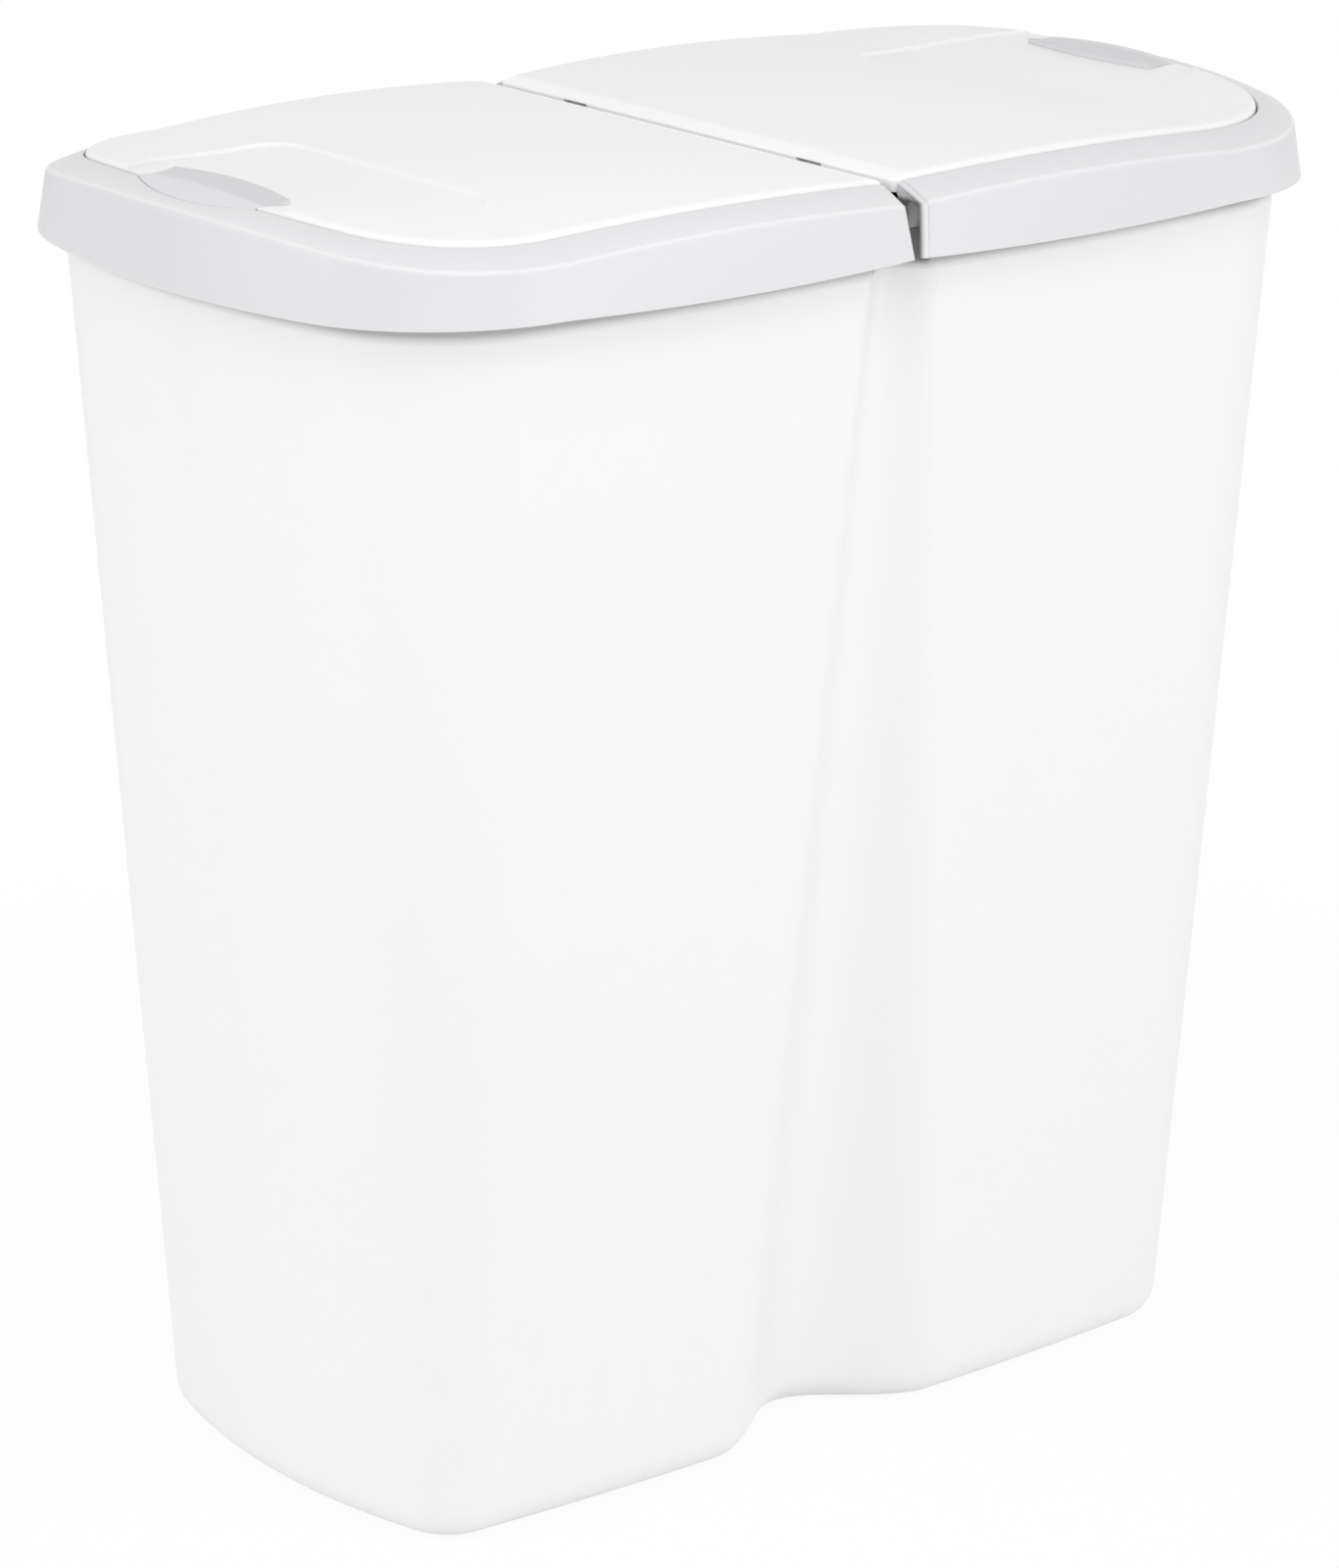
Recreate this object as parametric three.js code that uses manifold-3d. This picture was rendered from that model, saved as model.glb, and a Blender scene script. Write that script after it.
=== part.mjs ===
// Double recycling bin: one two-lobed body with two compartments, a rim frame
// with a central bridge, and two lids that swing up from the middle, each with
// a small press latch at its outer end.
// Millimetres, +Z up, X along the length, origin on the floor in the middle.
import * as THREE from 'three';
import * as BufferGeometryUtils from 'three/addons/utils/BufferGeometryUtils.js';
import Module from 'manifold-3d';

const wasm = await Module();
wasm.setup();

// ---- Driving dimensions ----

// Rim outline in plan: an end arc, four corner arcs and two side arcs a side
const RIM_LENGTH = 500;
const RIM_DEPTH = 287.2;
const RIM_LOBE = 82.3;
const RIM_END_R = 368;
const RIM_SIDE_R = 1081;
const RIM_CORNER_R = 72.9;

// Body outline at the foot
const FOOT_LENGTH = 414.1;
const FOOT_DEPTH = 200.7;
const FOOT_LOBE = 57.9;
const FOOT_END_R = 278;
const FOOT_SIDE_R = 1588;
const FOOT_CORNER_R = 27.8;
const FOOT_FILLET = 14.7;

// Body moulding
const WALL = 2.4;
const FLOOR = 3.0;
const DIVIDER = 2.6;
const BODY_INSET = 10.7;
const WAIST_FOOT_HALF = 58;
const WAIST_FOOT_DEPTH = 28.5;
const WAIST_TOP_HALF = 18;
const WAIST_TOP_DEPTH = 11;
const WAIST_SOFTEN = 12;
const WAIST_GROW = 1.2;

// Rim frame moulding
const SKIRT_Z = 491;
const SKIRT_RISE = 19.8;
const RIDGE_INSET = 3.64;
const RIDGE_ROUND = 3.2;
const SLOPE_RISE = 6.2;
const SLOPE_WIDTH = 14.4;
const EDGE_ROUND = 0.9;
const RIM_WALL = 2.2;
const UNDER_EDGE_DROP = 2.64;
const UNDER_RIDGE_IN = 1.87;
const RECESS_DEPTH = 4.8;
const LEDGE_WIDTH = 7.2;
const LIP_DEPTH = 12.5;
const RIB_DEPTH = 11;

// Rises of the rim's lines over the middle of each end and of each side
const END_FADE = 70;
const SKIRT_END_ARCH = -1.4;
const RIDGE_END_ARCH = 8.9;
const EDGE_END_ARCH = 6.1;
const SKIRT_SIDE_ARCH = -1.25;
const RIDGE_SIDE_ARCH = 3.5;
const EDGE_SIDE_ARCH = 2.9;

// Slit in the middle of each long side of the rim
const SLIT_HALF_LOW = 0.7;
const SLIT_HALF_HIGH = 2.4;
const SLIT_MOUTH_R = 3;
const SLIT_FLANGE = 2;
const SLIT_FLANGE_REACH = 13;

// Bridge between the two mouths
const BRIDGE_HALF = 12.5;
const BRIDGE_DROP = 7;
const BRIDGE_HEIGHT = 5.8;
const SADDLE_EASE = 0.6;

// Lids
const LID_WALL = 2.2;
const LID_PROUD = 1.9;
const LID_ROUND = 2.7;
const SEAM_GAP = 3;
const SEAM_CORNER_R = 3;
const PAD_LENGTH = 72.6;
const PAD_HALF = 46.5;
const PAD_DEPTH = 1.3;
const PAD_CORNER_R = 12;

// Lid hinges: stub pins in snap-in sockets on the bridge
const HINGE_X = 8;
const HINGE_RISE = 7.8;
const HINGE_Y = 72;
const PIN_R = 2;
const SOCKET_WALL = 1.2;
const SOCKET_LENGTH = 14;
const SNAP_HALF = 1.7;
const EAR_THICK = 2.4;
const EAR_R = 3.6;

// Latches
const LATCH_HALF = 36.7;
const LATCH_EAR_GAP = 2.4;
const LATCH_RIDGE_IN = 1.96;
const LATCH_OVERHANG_MID = 7;
const LATCH_OVERHANG_END = 0.6;
const LATCH_DISH_DROP = 0.9;
const LATCH_DISH_BEND = 1.6;
const LATCH_LIP_BEND = 1.8;
const LATCH_CROWN_MID = 0.7;
const LATCH_CROWN_END = 0.3;
const LATCH_THICK = 2.3;
const LATCH_LIP_GAP = 1.1;
const LATCH_LIP_THICK = 0.7;
const LATCH_AXIS_IN = 4.4;
const LATCH_AXIS_DROP = 6.2;
const LATCH_PIN_R = 1.5;
const LATCH_EAR_R = 3;
const LATCH_LEG_HALF = 14;
const LATCH_LEG_THICK = 1.8;
const LATCH_LEG_LENGTH = 13;

// Fits
const CLEARANCE = 0.3;

// Facets
const END_STEPS = 4;
const CORNER_STEPS = 7;
const SIDE_STEPS = 6;
const WAIST_STEPS = 8;
const MIDDLE_STEPS = 2;
const ROUND_STEPS = 3;
const PIN_SIDES = 16;

// ---- Values that follow from them ----

const RIM = {
  a: RIM_LENGTH / 2,
  b: RIM_DEPTH / 2,
  lobe: RIM_LOBE,
  endR: RIM_END_R,
  sideR: RIM_SIDE_R,
  cornerR: RIM_CORNER_R,
};
const FOOT = {
  a: FOOT_LENGTH / 2,
  b: FOOT_DEPTH / 2,
  lobe: FOOT_LOBE,
  endR: FOOT_END_R,
  sideR: FOOT_SIDE_R,
  cornerR: FOOT_CORNER_R,
};
const RIDGE_Z = SKIRT_Z + SKIRT_RISE;
const EDGE_Z = RIDGE_Z + SLOPE_RISE;
const EDGE_INSET = RIDGE_INSET + SLOPE_WIDTH;
const LEDGE_Z = EDGE_Z - RECESS_DEPTH;
const BRIDGE_TOP_Z = LEDGE_Z - BRIDGE_DROP;
const HINGE_Z = BRIDGE_TOP_Z + HINGE_RISE;
const LIP_INSET = EDGE_INSET + CLEARANCE + LEDGE_WIDTH;
const LID_INSET = EDGE_INSET + 2 * CLEARANCE;
const RIB_INSET = BODY_INSET + WALL;
const PIN_CLEAR_R = PIN_R + CLEARANCE;

const white = new THREE.MeshStandardMaterial({ color: 0xf3f1f2, roughness: 0.42, metalness: 0 });
const grey = new THREE.MeshStandardMaterial({ color: 0xdcd9de, roughness: 0.5, metalness: 0 });

// ---- Small maths ----

function mix(from, to, t) {
  return from + (to - from) * t;
}

function smooth(t) {
  const c = Math.min(1, Math.max(0, t));
  return c * c * (3 - 2 * c);
}

function insetShape(s, d) {
  return {
    a: s.a - d,
    b: s.b - d,
    lobe: s.lobe,
    endR: s.endR - d,
    sideR: s.sideR - d,
    cornerR: s.cornerR - d,
  };
}

function mixShape(s, t, k) {
  return {
    a: mix(s.a, t.a, k),
    b: mix(s.b, t.b, k),
    lobe: mix(s.lobe, t.lobe, k),
    endR: mix(s.endR, t.endR, k),
    sideR: mix(s.sideR, t.sideR, k),
    cornerR: mix(s.cornerR, t.cornerR, k),
  };
}

// ---- Outlines ----

// Distance of a side arc from the middle plane at a given x
function sideY(s, x, soften = 0) {
  const along = Math.hypot(x, soften) - s.lobe;
  return s.b - s.sideR + Math.sqrt(s.sideR ** 2 - along ** 2);
}

// Distance of an end arc from the middle at a given y
function endX(s, y) {
  return s.a - s.endR + Math.sqrt(s.endR ** 2 - y ** 2);
}

// One quarter of an outline, from the middle of the end to the side at xEnd.
// The corner arc touches the end arc and the side arc from inside.
function quarter(s, xEnd, waist, waistSteps, soften = 0) {
  const ex = s.a - s.endR;
  const fy = s.b - s.sideR;
  const r1 = s.endR - s.cornerR;
  const r2 = s.sideR - s.cornerR;
  const dx = s.lobe - ex;
  const d = Math.hypot(dx, fy);
  const along = (r1 ** 2 - r2 ** 2 + d ** 2) / (2 * d);
  const aside = Math.sqrt(r1 ** 2 - along ** 2);
  const cx = ex + (dx * along - fy * aside) / d;
  const cy = (fy * along + dx * aside) / d;
  const endAngle = Math.atan2(cy, cx - ex);
  const sideAngle = Math.atan2(cy - fy, cx - s.lobe);
  const xCorner = cx + s.cornerR * Math.cos(sideAngle);
  const points = [];
  for (let i = 0; i < END_STEPS; i += 1) {
    const t = (endAngle * i) / END_STEPS;
    points.push([ex + s.endR * Math.cos(t), s.endR * Math.sin(t)]);
  }
  for (let i = 0; i < CORNER_STEPS; i += 1) {
    const t = mix(endAngle, sideAngle, i / CORNER_STEPS);
    points.push([cx + s.cornerR * Math.cos(t), cy + s.cornerR * Math.sin(t)]);
  }
  for (let i = 0; i < SIDE_STEPS; i += 1) {
    const x = mix(xCorner, waist, i / SIDE_STEPS);
    points.push([x, sideY(s, x)]);
  }
  for (let i = 0; i <= waistSteps; i += 1) {
    const x = mix(waist, xEnd, i / waistSteps);
    points.push([x, sideY(s, x, soften)]);
  }
  return points;
}

// A whole outline, counter-clockwise from above
function wholeRing(q) {
  const n = q.length - 1;
  const points = [];
  for (let i = 0; i < n; i += 1) points.push([q[i][0], q[i][1]]);
  for (let i = n; i > 0; i -= 1) points.push([-q[i][0], q[i][1]]);
  for (let i = 0; i < n; i += 1) points.push([-q[i][0], -q[i][1]]);
  for (let i = n; i > 0; i -= 1) points.push([q[i][0], -q[i][1]]);
  return points;
}

// The right half of an outline, closed by a straight line beside the middle
function halfRing(q) {
  const points = q.map((p) => [p[0], p[1]]);
  for (let i = q.length - 1; i > 0; i -= 1) points.push([q[i][0], -q[i][1]]);
  return points;
}

function atHeight(ring, z) {
  return ring.map((p) => [p[0], p[1], z]);
}

// Rise of a line of the rim or lid over its flat level
function arch(s, x, y, endArch, sideArch) {
  const end = smooth((Math.abs(x) - (s.a - END_FADE)) / END_FADE);
  const side = Math.max(0, 1 - ((Math.abs(x) - s.lobe) / s.lobe) ** 2);
  return endArch * end * (1 - (y / s.b) ** 2) + sideArch * (1 - end) * side;
}

// ---- Solids ----

function closedGeometry(points, faces) {
  const geometry = new THREE.BufferGeometry();
  geometry.setAttribute('position', new THREE.Float32BufferAttribute(points.flat(), 3));
  geometry.setIndex(faces.flat());
  return geometry;
}

function toSolid(geometry) {
  const bare = geometry.clone();
  bare.deleteAttribute('normal');
  bare.deleteAttribute('uv');
  const merged = BufferGeometryUtils.mergeVertices(bare, 1e-4);
  return new wasm.Manifold(new wasm.Mesh({
    numProp: 3,
    vertProperties: new Float32Array(merged.attributes.position.array),
    triVerts: new Uint32Array(merged.index.array),
  }));
}

function toGeometry(solid) {
  const mesh = solid.getMesh();
  const geometry = new THREE.BufferGeometry();
  geometry.setAttribute('position', new THREE.BufferAttribute(mesh.vertProperties, mesh.numProp));
  geometry.setIndex(new THREE.BufferAttribute(mesh.triVerts, 1));
  geometry.computeVertexNormals();
  return geometry;
}

// The same geometry mirrored to the other side of x = 0
function mirrored(geometry) {
  const copy = geometry.clone();
  copy.scale(-1, 1, 1);
  const index = copy.index.array;
  for (let i = 0; i < index.length; i += 3) {
    const kept = index[i];
    index[i] = index[i + 1];
    index[i + 1] = kept;
  }
  copy.computeVertexNormals();
  return copy;
}

// Skin between rings that go up, capped at both ends
function loft(rings) {
  const n = rings[0].length;
  const faces = [];
  for (let r = 0; r + 1 < rings.length; r += 1) {
    for (let i = 0; i < n; i += 1) {
      const j = (i + 1) % n;
      faces.push([r * n + i, r * n + j, (r + 1) * n + j]);
      faces.push([r * n + i, (r + 1) * n + j, (r + 1) * n + i]);
    }
  }
  const last = (rings.length - 1) * n;
  const flat = (ring) => ring.map((p) => new THREE.Vector2(p[0], p[1]));
  for (const [i, j, k] of THREE.ShapeUtils.triangulateShape(flat(rings[0]), [])) {
    faces.push([k, j, i]);
  }
  for (const [i, j, k] of THREE.ShapeUtils.triangulateShape(flat(rings.at(-1)), [])) {
    faces.push([last + i, last + j, last + k]);
  }
  return toSolid(closedGeometry(rings.flat(), faces));
}

// Closed section carried round a closed outline: rings[k] is the outline at
// section point k, and the section goes up the outside and down the inside
function carried(rings) {
  const n = rings[0].length;
  const faces = [];
  for (let r = 0; r < rings.length; r += 1) {
    const up = ((r + 1) % rings.length) * n;
    for (let i = 0; i < n; i += 1) {
      const j = (i + 1) % n;
      faces.push([r * n + i, r * n + j, up + j]);
      faces.push([r * n + i, up + j, up + i]);
    }
  }
  return toSolid(closedGeometry(rings.flat(), faces));
}

// Slab with a curved top and bottom over a four-sided patch in plan
function slab(nu, nv, plan, top, bottom) {
  const points = [];
  const faces = [];
  const row = nv + 1;
  const layer = (nu + 1) * row;
  for (const height of [top, bottom]) {
    for (let i = 0; i <= nu; i += 1) {
      for (let j = 0; j <= nv; j += 1) {
        const [x, y] = plan(i / nu, j / nv);
        points.push([x, y, height(x, y)]);
      }
    }
  }
  for (let i = 0; i < nu; i += 1) {
    for (let j = 0; j < nv; j += 1) {
      const a = i * row + j;
      const b = a + row;
      faces.push([a, b, b + 1], [a, b + 1, a + 1]);
      faces.push([layer + a, layer + b + 1, layer + b], [layer + a, layer + a + 1, layer + b + 1]);
    }
  }
  const wall = (p, q) => faces.push([p, q, layer + q], [p, layer + q, layer + p]);
  for (let i = 0; i < nu; i += 1) {
    wall((i + 1) * row, i * row);
    wall(i * row + nv, (i + 1) * row + nv);
  }
  for (let j = 0; j < nv; j += 1) {
    wall(j, j + 1);
    wall(nu * row + j + 1, nu * row + j);
  }
  return toSolid(closedGeometry(points, faces));
}

function box(x0, x1, y0, y1, z0, z1) {
  const geometry = new THREE.BoxGeometry(x1 - x0, y1 - y0, z1 - z0);
  geometry.translate((x0 + x1) / 2, (y0 + y1) / 2, (z0 + z1) / 2);
  return toSolid(geometry);
}

// Round bar along Y
function bar(radius, y0, y1, x, z) {
  const geometry = new THREE.CylinderGeometry(radius, radius, y1 - y0, PIN_SIDES);
  geometry.translate(x, (y0 + y1) / 2, z);
  return toSolid(geometry);
}

// Upright prism over a rectangle with rounded corners
function roundedPrism(x0, x1, y0, y1, r, z0, z1) {
  const shape = new THREE.Shape();
  shape.moveTo(x0 + r, y0);
  shape.lineTo(x1 - r, y0);
  shape.absarc(x1 - r, y0 + r, r, -Math.PI / 2, 0);
  shape.absarc(x1 - r, y1 - r, r, 0, Math.PI / 2);
  shape.absarc(x0 + r, y1 - r, r, Math.PI / 2, Math.PI);
  shape.absarc(x0 + r, y0 + r, r, Math.PI, Math.PI * 1.5);
  const geometry = new THREE.ExtrudeGeometry(shape, {
    depth: z1 - z0,
    bevelEnabled: false,
    curveSegments: ROUND_STEPS,
  });
  geometry.translate(0, 0, z0);
  return toSolid(geometry);
}

// ---- Rim frame ----

// Points of a soft corner between two straight runs of the section
function softCorner(p, corner, q, reach) {
  const toward = (end) => {
    const k = reach / Math.hypot(end[0] - corner[0], end[1] - corner[1]);
    return corner.map((value, i) => mix(value, end[i], k));
  };
  const from = toward(p);
  const to = toward(q);
  const points = [];
  for (let i = 0; i <= ROUND_STEPS; i += 1) {
    const t = i / ROUND_STEPS;
    points.push(corner.map((value, c) => (
      (1 - t) ** 2 * from[c] + 2 * t * (1 - t) * value + t ** 2 * to[c]
    )));
  }
  return points;
}

// Section points: inset from the rim outline, height, end arch, side arch
const SKIRT_FOOT = [0, SKIRT_Z, SKIRT_END_ARCH, SKIRT_SIDE_ARCH];
const RIDGE = [RIDGE_INSET, RIDGE_Z, RIDGE_END_ARCH, RIDGE_SIDE_ARCH];
const LID_EDGE = [EDGE_INSET, EDGE_Z, EDGE_END_ARCH, EDGE_SIDE_ARCH];
const RECESS_FOOT = [EDGE_INSET + CLEARANCE, LEDGE_Z, EDGE_END_ARCH, EDGE_SIDE_ARCH];
const OUTER_SECTION = [
  SKIRT_FOOT,
  ...softCorner(SKIRT_FOOT, RIDGE, LID_EDGE, RIDGE_ROUND),
  ...softCorner(RIDGE, LID_EDGE, RECESS_FOOT, EDGE_ROUND),
];
const LIP_FOOT_Z = LEDGE_Z - LIP_DEPTH;
const RIB_FOOT_Z = LEDGE_Z - RIB_DEPTH;
const UNDER_EDGE_Z = EDGE_Z - UNDER_EDGE_DROP;
const UNDER_RIDGE_Z = RIDGE_Z - RIM_WALL;
const UNDER_RIDGE_INSET = RIDGE_INSET + UNDER_RIDGE_IN;
const UNDER_RUN = EDGE_INSET - RIM_WALL - UNDER_RIDGE_INSET;
const underZ = (inset) => mix(UNDER_RIDGE_Z, UNDER_EDGE_Z, (inset - UNDER_RIDGE_INSET) / UNDER_RUN);
const RIB_IN = RIB_INSET + RIM_WALL;
const INNER_SECTION = [
  RECESS_FOOT,
  [LIP_INSET, LEDGE_Z, EDGE_END_ARCH, EDGE_SIDE_ARCH],
  [LIP_INSET, LIP_FOOT_Z, 0, 0],
  [LIP_INSET - RIM_WALL, LIP_FOOT_Z, 0, 0],
  [LIP_INSET - RIM_WALL, LEDGE_Z - RIM_WALL, EDGE_END_ARCH, EDGE_SIDE_ARCH],
  [RIB_IN, LEDGE_Z - RIM_WALL, EDGE_END_ARCH, EDGE_SIDE_ARCH],
  [RIB_IN, RIB_FOOT_Z, 0, 0],
  [RIB_INSET, RIB_FOOT_Z, 0, 0],
  [RIB_INSET, underZ(RIB_INSET), EDGE_END_ARCH, EDGE_SIDE_ARCH],
  [UNDER_RIDGE_INSET, UNDER_RIDGE_Z, RIDGE_END_ARCH, RIDGE_SIDE_ARCH],
  [RIM_WALL, SKIRT_Z, SKIRT_END_ARCH, SKIRT_SIDE_ARCH],
];

function rimRing([inset, z, endArch, sideArch]) {
  const s = insetShape(RIM, inset);
  return wholeRing(quarter(s, 0, 2 * BRIDGE_HALF, MIDDLE_STEPS)).map(([x, y]) => (
    [x, y, z + arch(s, x, y, endArch, sideArch)]
  ));
}

// Cutter of the slit: widens upward, with its mouth edges rounded
function slitCutter(side) {
  const depthAt = (inset) => sideY(insetShape(RIM, inset), 0);
  const levels = [
    [SKIRT_Z - SKIRT_RISE, 0, 0],
    [SKIRT_Z, 0, 0],
    [RIDGE_Z, RIDGE_INSET, 1],
    [EDGE_Z, EDGE_INSET, 1],
    [EDGE_Z + SKIRT_RISE, EDGE_INSET, 1],
  ];
  const inner = depthAt(EDGE_INSET + CLEARANCE);
  return loft(levels.map(([z, inset, rise]) => {
    const half = mix(SLIT_HALF_LOW, SLIT_HALF_HIGH, rise);
    const face = depthAt(inset);
    const right = [];
    for (let i = 0; i <= ROUND_STEPS; i += 1) {
      const t = ((Math.PI / 2) * i) / ROUND_STEPS;
      const x = half + SLIT_MOUTH_R * (1 - Math.cos(t));
      const y = face - SLIT_MOUTH_R * (1 - Math.sin(t));
      right.push([x, Math.max(y, inner)]);
    }
    const wide = half + SLIT_MOUTH_R;
    const outline = [[-half, inner - 0.001], [half, inner - 0.001]];
    outline.push(...right, [wide, face + SKIRT_RISE], [-wide, face + SKIRT_RISE]);
    for (let i = right.length - 1; i >= 0; i -= 1) outline.push([-right[i][0], right[i][1]]);
    const turned = side > 0 ? outline : outline.map(([x, y]) => [-x, -y]);
    return atHeight(turned, z);
  }));
}

const bridgeEnd = sideY(insetShape(RIM, LIP_INSET - RIM_WALL / 2), 0);
const saddleHalf = BRIDGE_HALF + RIM_WALL;
const grooveEnd = bridgeEnd + RIM_WALL;
const bridgeFootZ = BRIDGE_TOP_Z - BRIDGE_HEIGHT;
const grooveRoofZ = BRIDGE_TOP_Z - RIM_WALL;
const socketR = PIN_CLEAR_R + SOCKET_WALL;

// Upright prism inside the rim outline, over the bridge's width
function acrossPrism(inset, half, z0, z1) {
  const ring = wholeRing(quarter(insetShape(RIM, inset), 0, 2 * BRIDGE_HALF, MIDDLE_STEPS));
  const prism = loft([atHeight(ring, z0), atHeight(ring, z1)]);
  return prism.intersect(box(-half, half, -RIM_DEPTH, RIM_DEPTH, z0, z1));
}

function makeRimFrame() {
  let solid = carried([...OUTER_SECTION, ...INNER_SECTION].map(rimRing));
  const outerSolid = loft(OUTER_SECTION.map(rimRing));
  const flangeHalf = SLIT_HALF_HIGH + SLIT_FLANGE;
  for (const side of [-1, 1]) {
    const face = sideY(RIM, 0) * side;
    const reach = face - side * SLIT_FLANGE_REACH;
    const y0 = Math.min(face, reach) - 0.001;
    const y1 = Math.max(face, reach) + 0.001;
    const block = box(-flangeHalf, flangeHalf, y0, y1, SKIRT_Z + 1, EDGE_Z + SKIRT_RISE);
    const ribNotch = BRIDGE_HALF * 2;
    const notchIn = sideY(RIM, 0) - RIB_IN - CLEARANCE;
    const notchOut = RIM.b - RIB_INSET + CLEARANCE;
    const ny0 = side > 0 ? notchIn : -notchOut;
    const ny1 = side > 0 ? notchOut : -notchIn;
    solid = solid.subtract(box(-ribNotch, ribNotch, ny0, ny1, RIB_FOOT_Z - 1, LEDGE_Z - RIM_WALL));
    solid = solid.add(block.intersect(outerSolid));
  }

  // Bridge, and the saddle at each of its ends where the lids' corners swing down
  const saddle = acrossPrism(EDGE_INSET - SADDLE_EASE - RIM_WALL, saddleHalf, bridgeFootZ, LEDGE_Z)
    .subtract(box(-saddleHalf, saddleHalf, -bridgeEnd, bridgeEnd, bridgeFootZ, LEDGE_Z));
  const bridge = box(-BRIDGE_HALF, BRIDGE_HALF, -bridgeEnd, bridgeEnd, bridgeFootZ, BRIDGE_TOP_Z);
  solid = solid.add(saddle).add(bridge);
  solid = solid.subtract(
    acrossPrism(EDGE_INSET + CLEARANCE, BRIDGE_HALF, BRIDGE_TOP_Z, EDGE_Z + SKIRT_RISE),
  );
  solid = solid.subtract(
    acrossPrism(EDGE_INSET + CLEARANCE - SADDLE_EASE, BRIDGE_HALF, BRIDGE_TOP_Z, LEDGE_Z),
  );
  const grooveHalf = BRIDGE_HALF - RIM_WALL;
  solid = solid.subtract(
    box(-grooveHalf, grooveHalf, -grooveEnd, grooveEnd, bridgeFootZ - 1, grooveRoofZ),
  );
  for (const side of [-1, 1]) {
    solid = solid.subtract(slitCutter(side));
    for (const y of [-HINGE_Y, HINGE_Y]) {
      const y0 = y - SOCKET_LENGTH / 2;
      const y1 = y + SOCKET_LENGTH / 2;
      const x = side * HINGE_X;
      const post = box(x - socketR, x + socketR, y0, y1, grooveRoofZ, HINGE_Z);
      const socket = post.add(bar(socketR, y0, y1, x, HINGE_Z))
        .subtract(bar(PIN_CLEAR_R, y0 - 1, y1 + 1, x, HINGE_Z))
        .subtract(box(x - SNAP_HALF, x + SNAP_HALF, y0 - 1, y1 + 1, HINGE_Z, HINGE_Z + 2 * socketR));
      solid = solid.add(socket);
    }
  }
  return toGeometry(solid);
}

// ---- Body shell ----

function bodyShape(z) {
  const top = insetShape(RIM, BODY_INSET);
  return mixShape(FOOT, top, Math.max(0, (z - FOOT_FILLET) / (SKIRT_Z - FOOT_FILLET)));
}

// Push the long sides in along the waist between the two lobes
function waisted(points, z, grow) {
  const t = z / SKIRT_Z;
  const half = mix(WAIST_FOOT_HALF, WAIST_TOP_HALF, t) + grow;
  const depth = mix(WAIST_FOOT_DEPTH, WAIST_TOP_DEPTH, t);
  return points.map(([x, y]) => {
    const bump = Math.abs(x) < half ? (1 + Math.cos((Math.PI * x) / half)) / 2 : 0;
    return [x, y - Math.sign(y) * depth * bump, z];
  });
}

const BODY_TOP_Z = LEDGE_Z - RIM_WALL - CLEARANCE;

function bodyRing(z, inset) {
  const half = mix(WAIST_FOOT_HALF, WAIST_TOP_HALF, z / SKIRT_Z);
  const q = quarter(insetShape(bodyShape(z), inset), 0, half, WAIST_STEPS, WAIST_SOFTEN);
  return waisted(wholeRing(q), z, 0);
}

function cavityRing(z, inset) {
  const half = mix(WAIST_FOOT_HALF, WAIST_TOP_HALF, z / SKIRT_Z) + WAIST_GROW;
  const q = quarter(insetShape(bodyShape(z), inset), DIVIDER / 2, half, WAIST_STEPS, WAIST_SOFTEN);
  return waisted(halfRing(q), z, WAIST_GROW);
}

function makeBodyShell() {
  const outer = [];
  const cavity = [];
  const cavityFillet = FOOT_FILLET - WALL;
  for (let i = 0; i <= ROUND_STEPS; i += 1) {
    const t = ((Math.PI / 2) * i) / ROUND_STEPS;
    outer.push(bodyRing(FOOT_FILLET * (1 - Math.cos(t)), FOOT_FILLET * (1 - Math.sin(t))));
    const inset = WALL + cavityFillet * (1 - Math.sin(t));
    cavity.push(cavityRing(FLOOR + cavityFillet * (1 - Math.cos(t)), inset));
  }
  const levels = 4;
  for (let i = 1; i <= levels; i += 1) {
    outer.push(bodyRing(mix(FOOT_FILLET, BODY_TOP_Z, i / levels), 0));
    cavity.push(cavityRing(mix(FLOOR + cavityFillet, BODY_TOP_Z + WALL, i / levels), WALL));
  }
  const right = loft(cavity);
  const left = toSolid(mirrored(toGeometry(right)));
  const dividerTop = grooveRoofZ - CLEARANCE;
  const reach = sideY(insetShape(bodyShape(dividerTop), WALL), 0, WAIST_SOFTEN)
    - mix(WAIST_FOOT_DEPTH, WAIST_TOP_DEPTH, dividerTop / SKIRT_Z);
  const clearing = box(-DIVIDER, DIVIDER, -reach, reach, dividerTop, BODY_TOP_Z + WALL);
  let solid = loft(outer).subtract(right).subtract(left).subtract(clearing);

  // Notch in the waist of each long side, where the rim's saddle sits
  const notchHalf = saddleHalf + CLEARANCE;
  const notchFoot = bridgeFootZ - CLEARANCE;
  const notchIn = Math.min(reach, grooveEnd - CLEARANCE);
  for (const side of [-1, 1]) {
    const y0 = side > 0 ? notchIn : -RIM.b;
    const y1 = side > 0 ? RIM.b : -notchIn;
    solid = solid.subtract(box(-notchHalf, notchHalf, y0, y1, notchFoot, BODY_TOP_Z + WALL));
  }
  return toGeometry(solid);
}

// ---- Lids ----

const LID = insetShape(RIM, EDGE_INSET);

// Height of the lid's top skin, which follows the rim's inner edge
function lidZ(x, y) {
  return EDGE_Z + LID_PROUD + arch(LID, x, y, EDGE_END_ARCH, EDGE_SIDE_ARCH);
}

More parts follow.
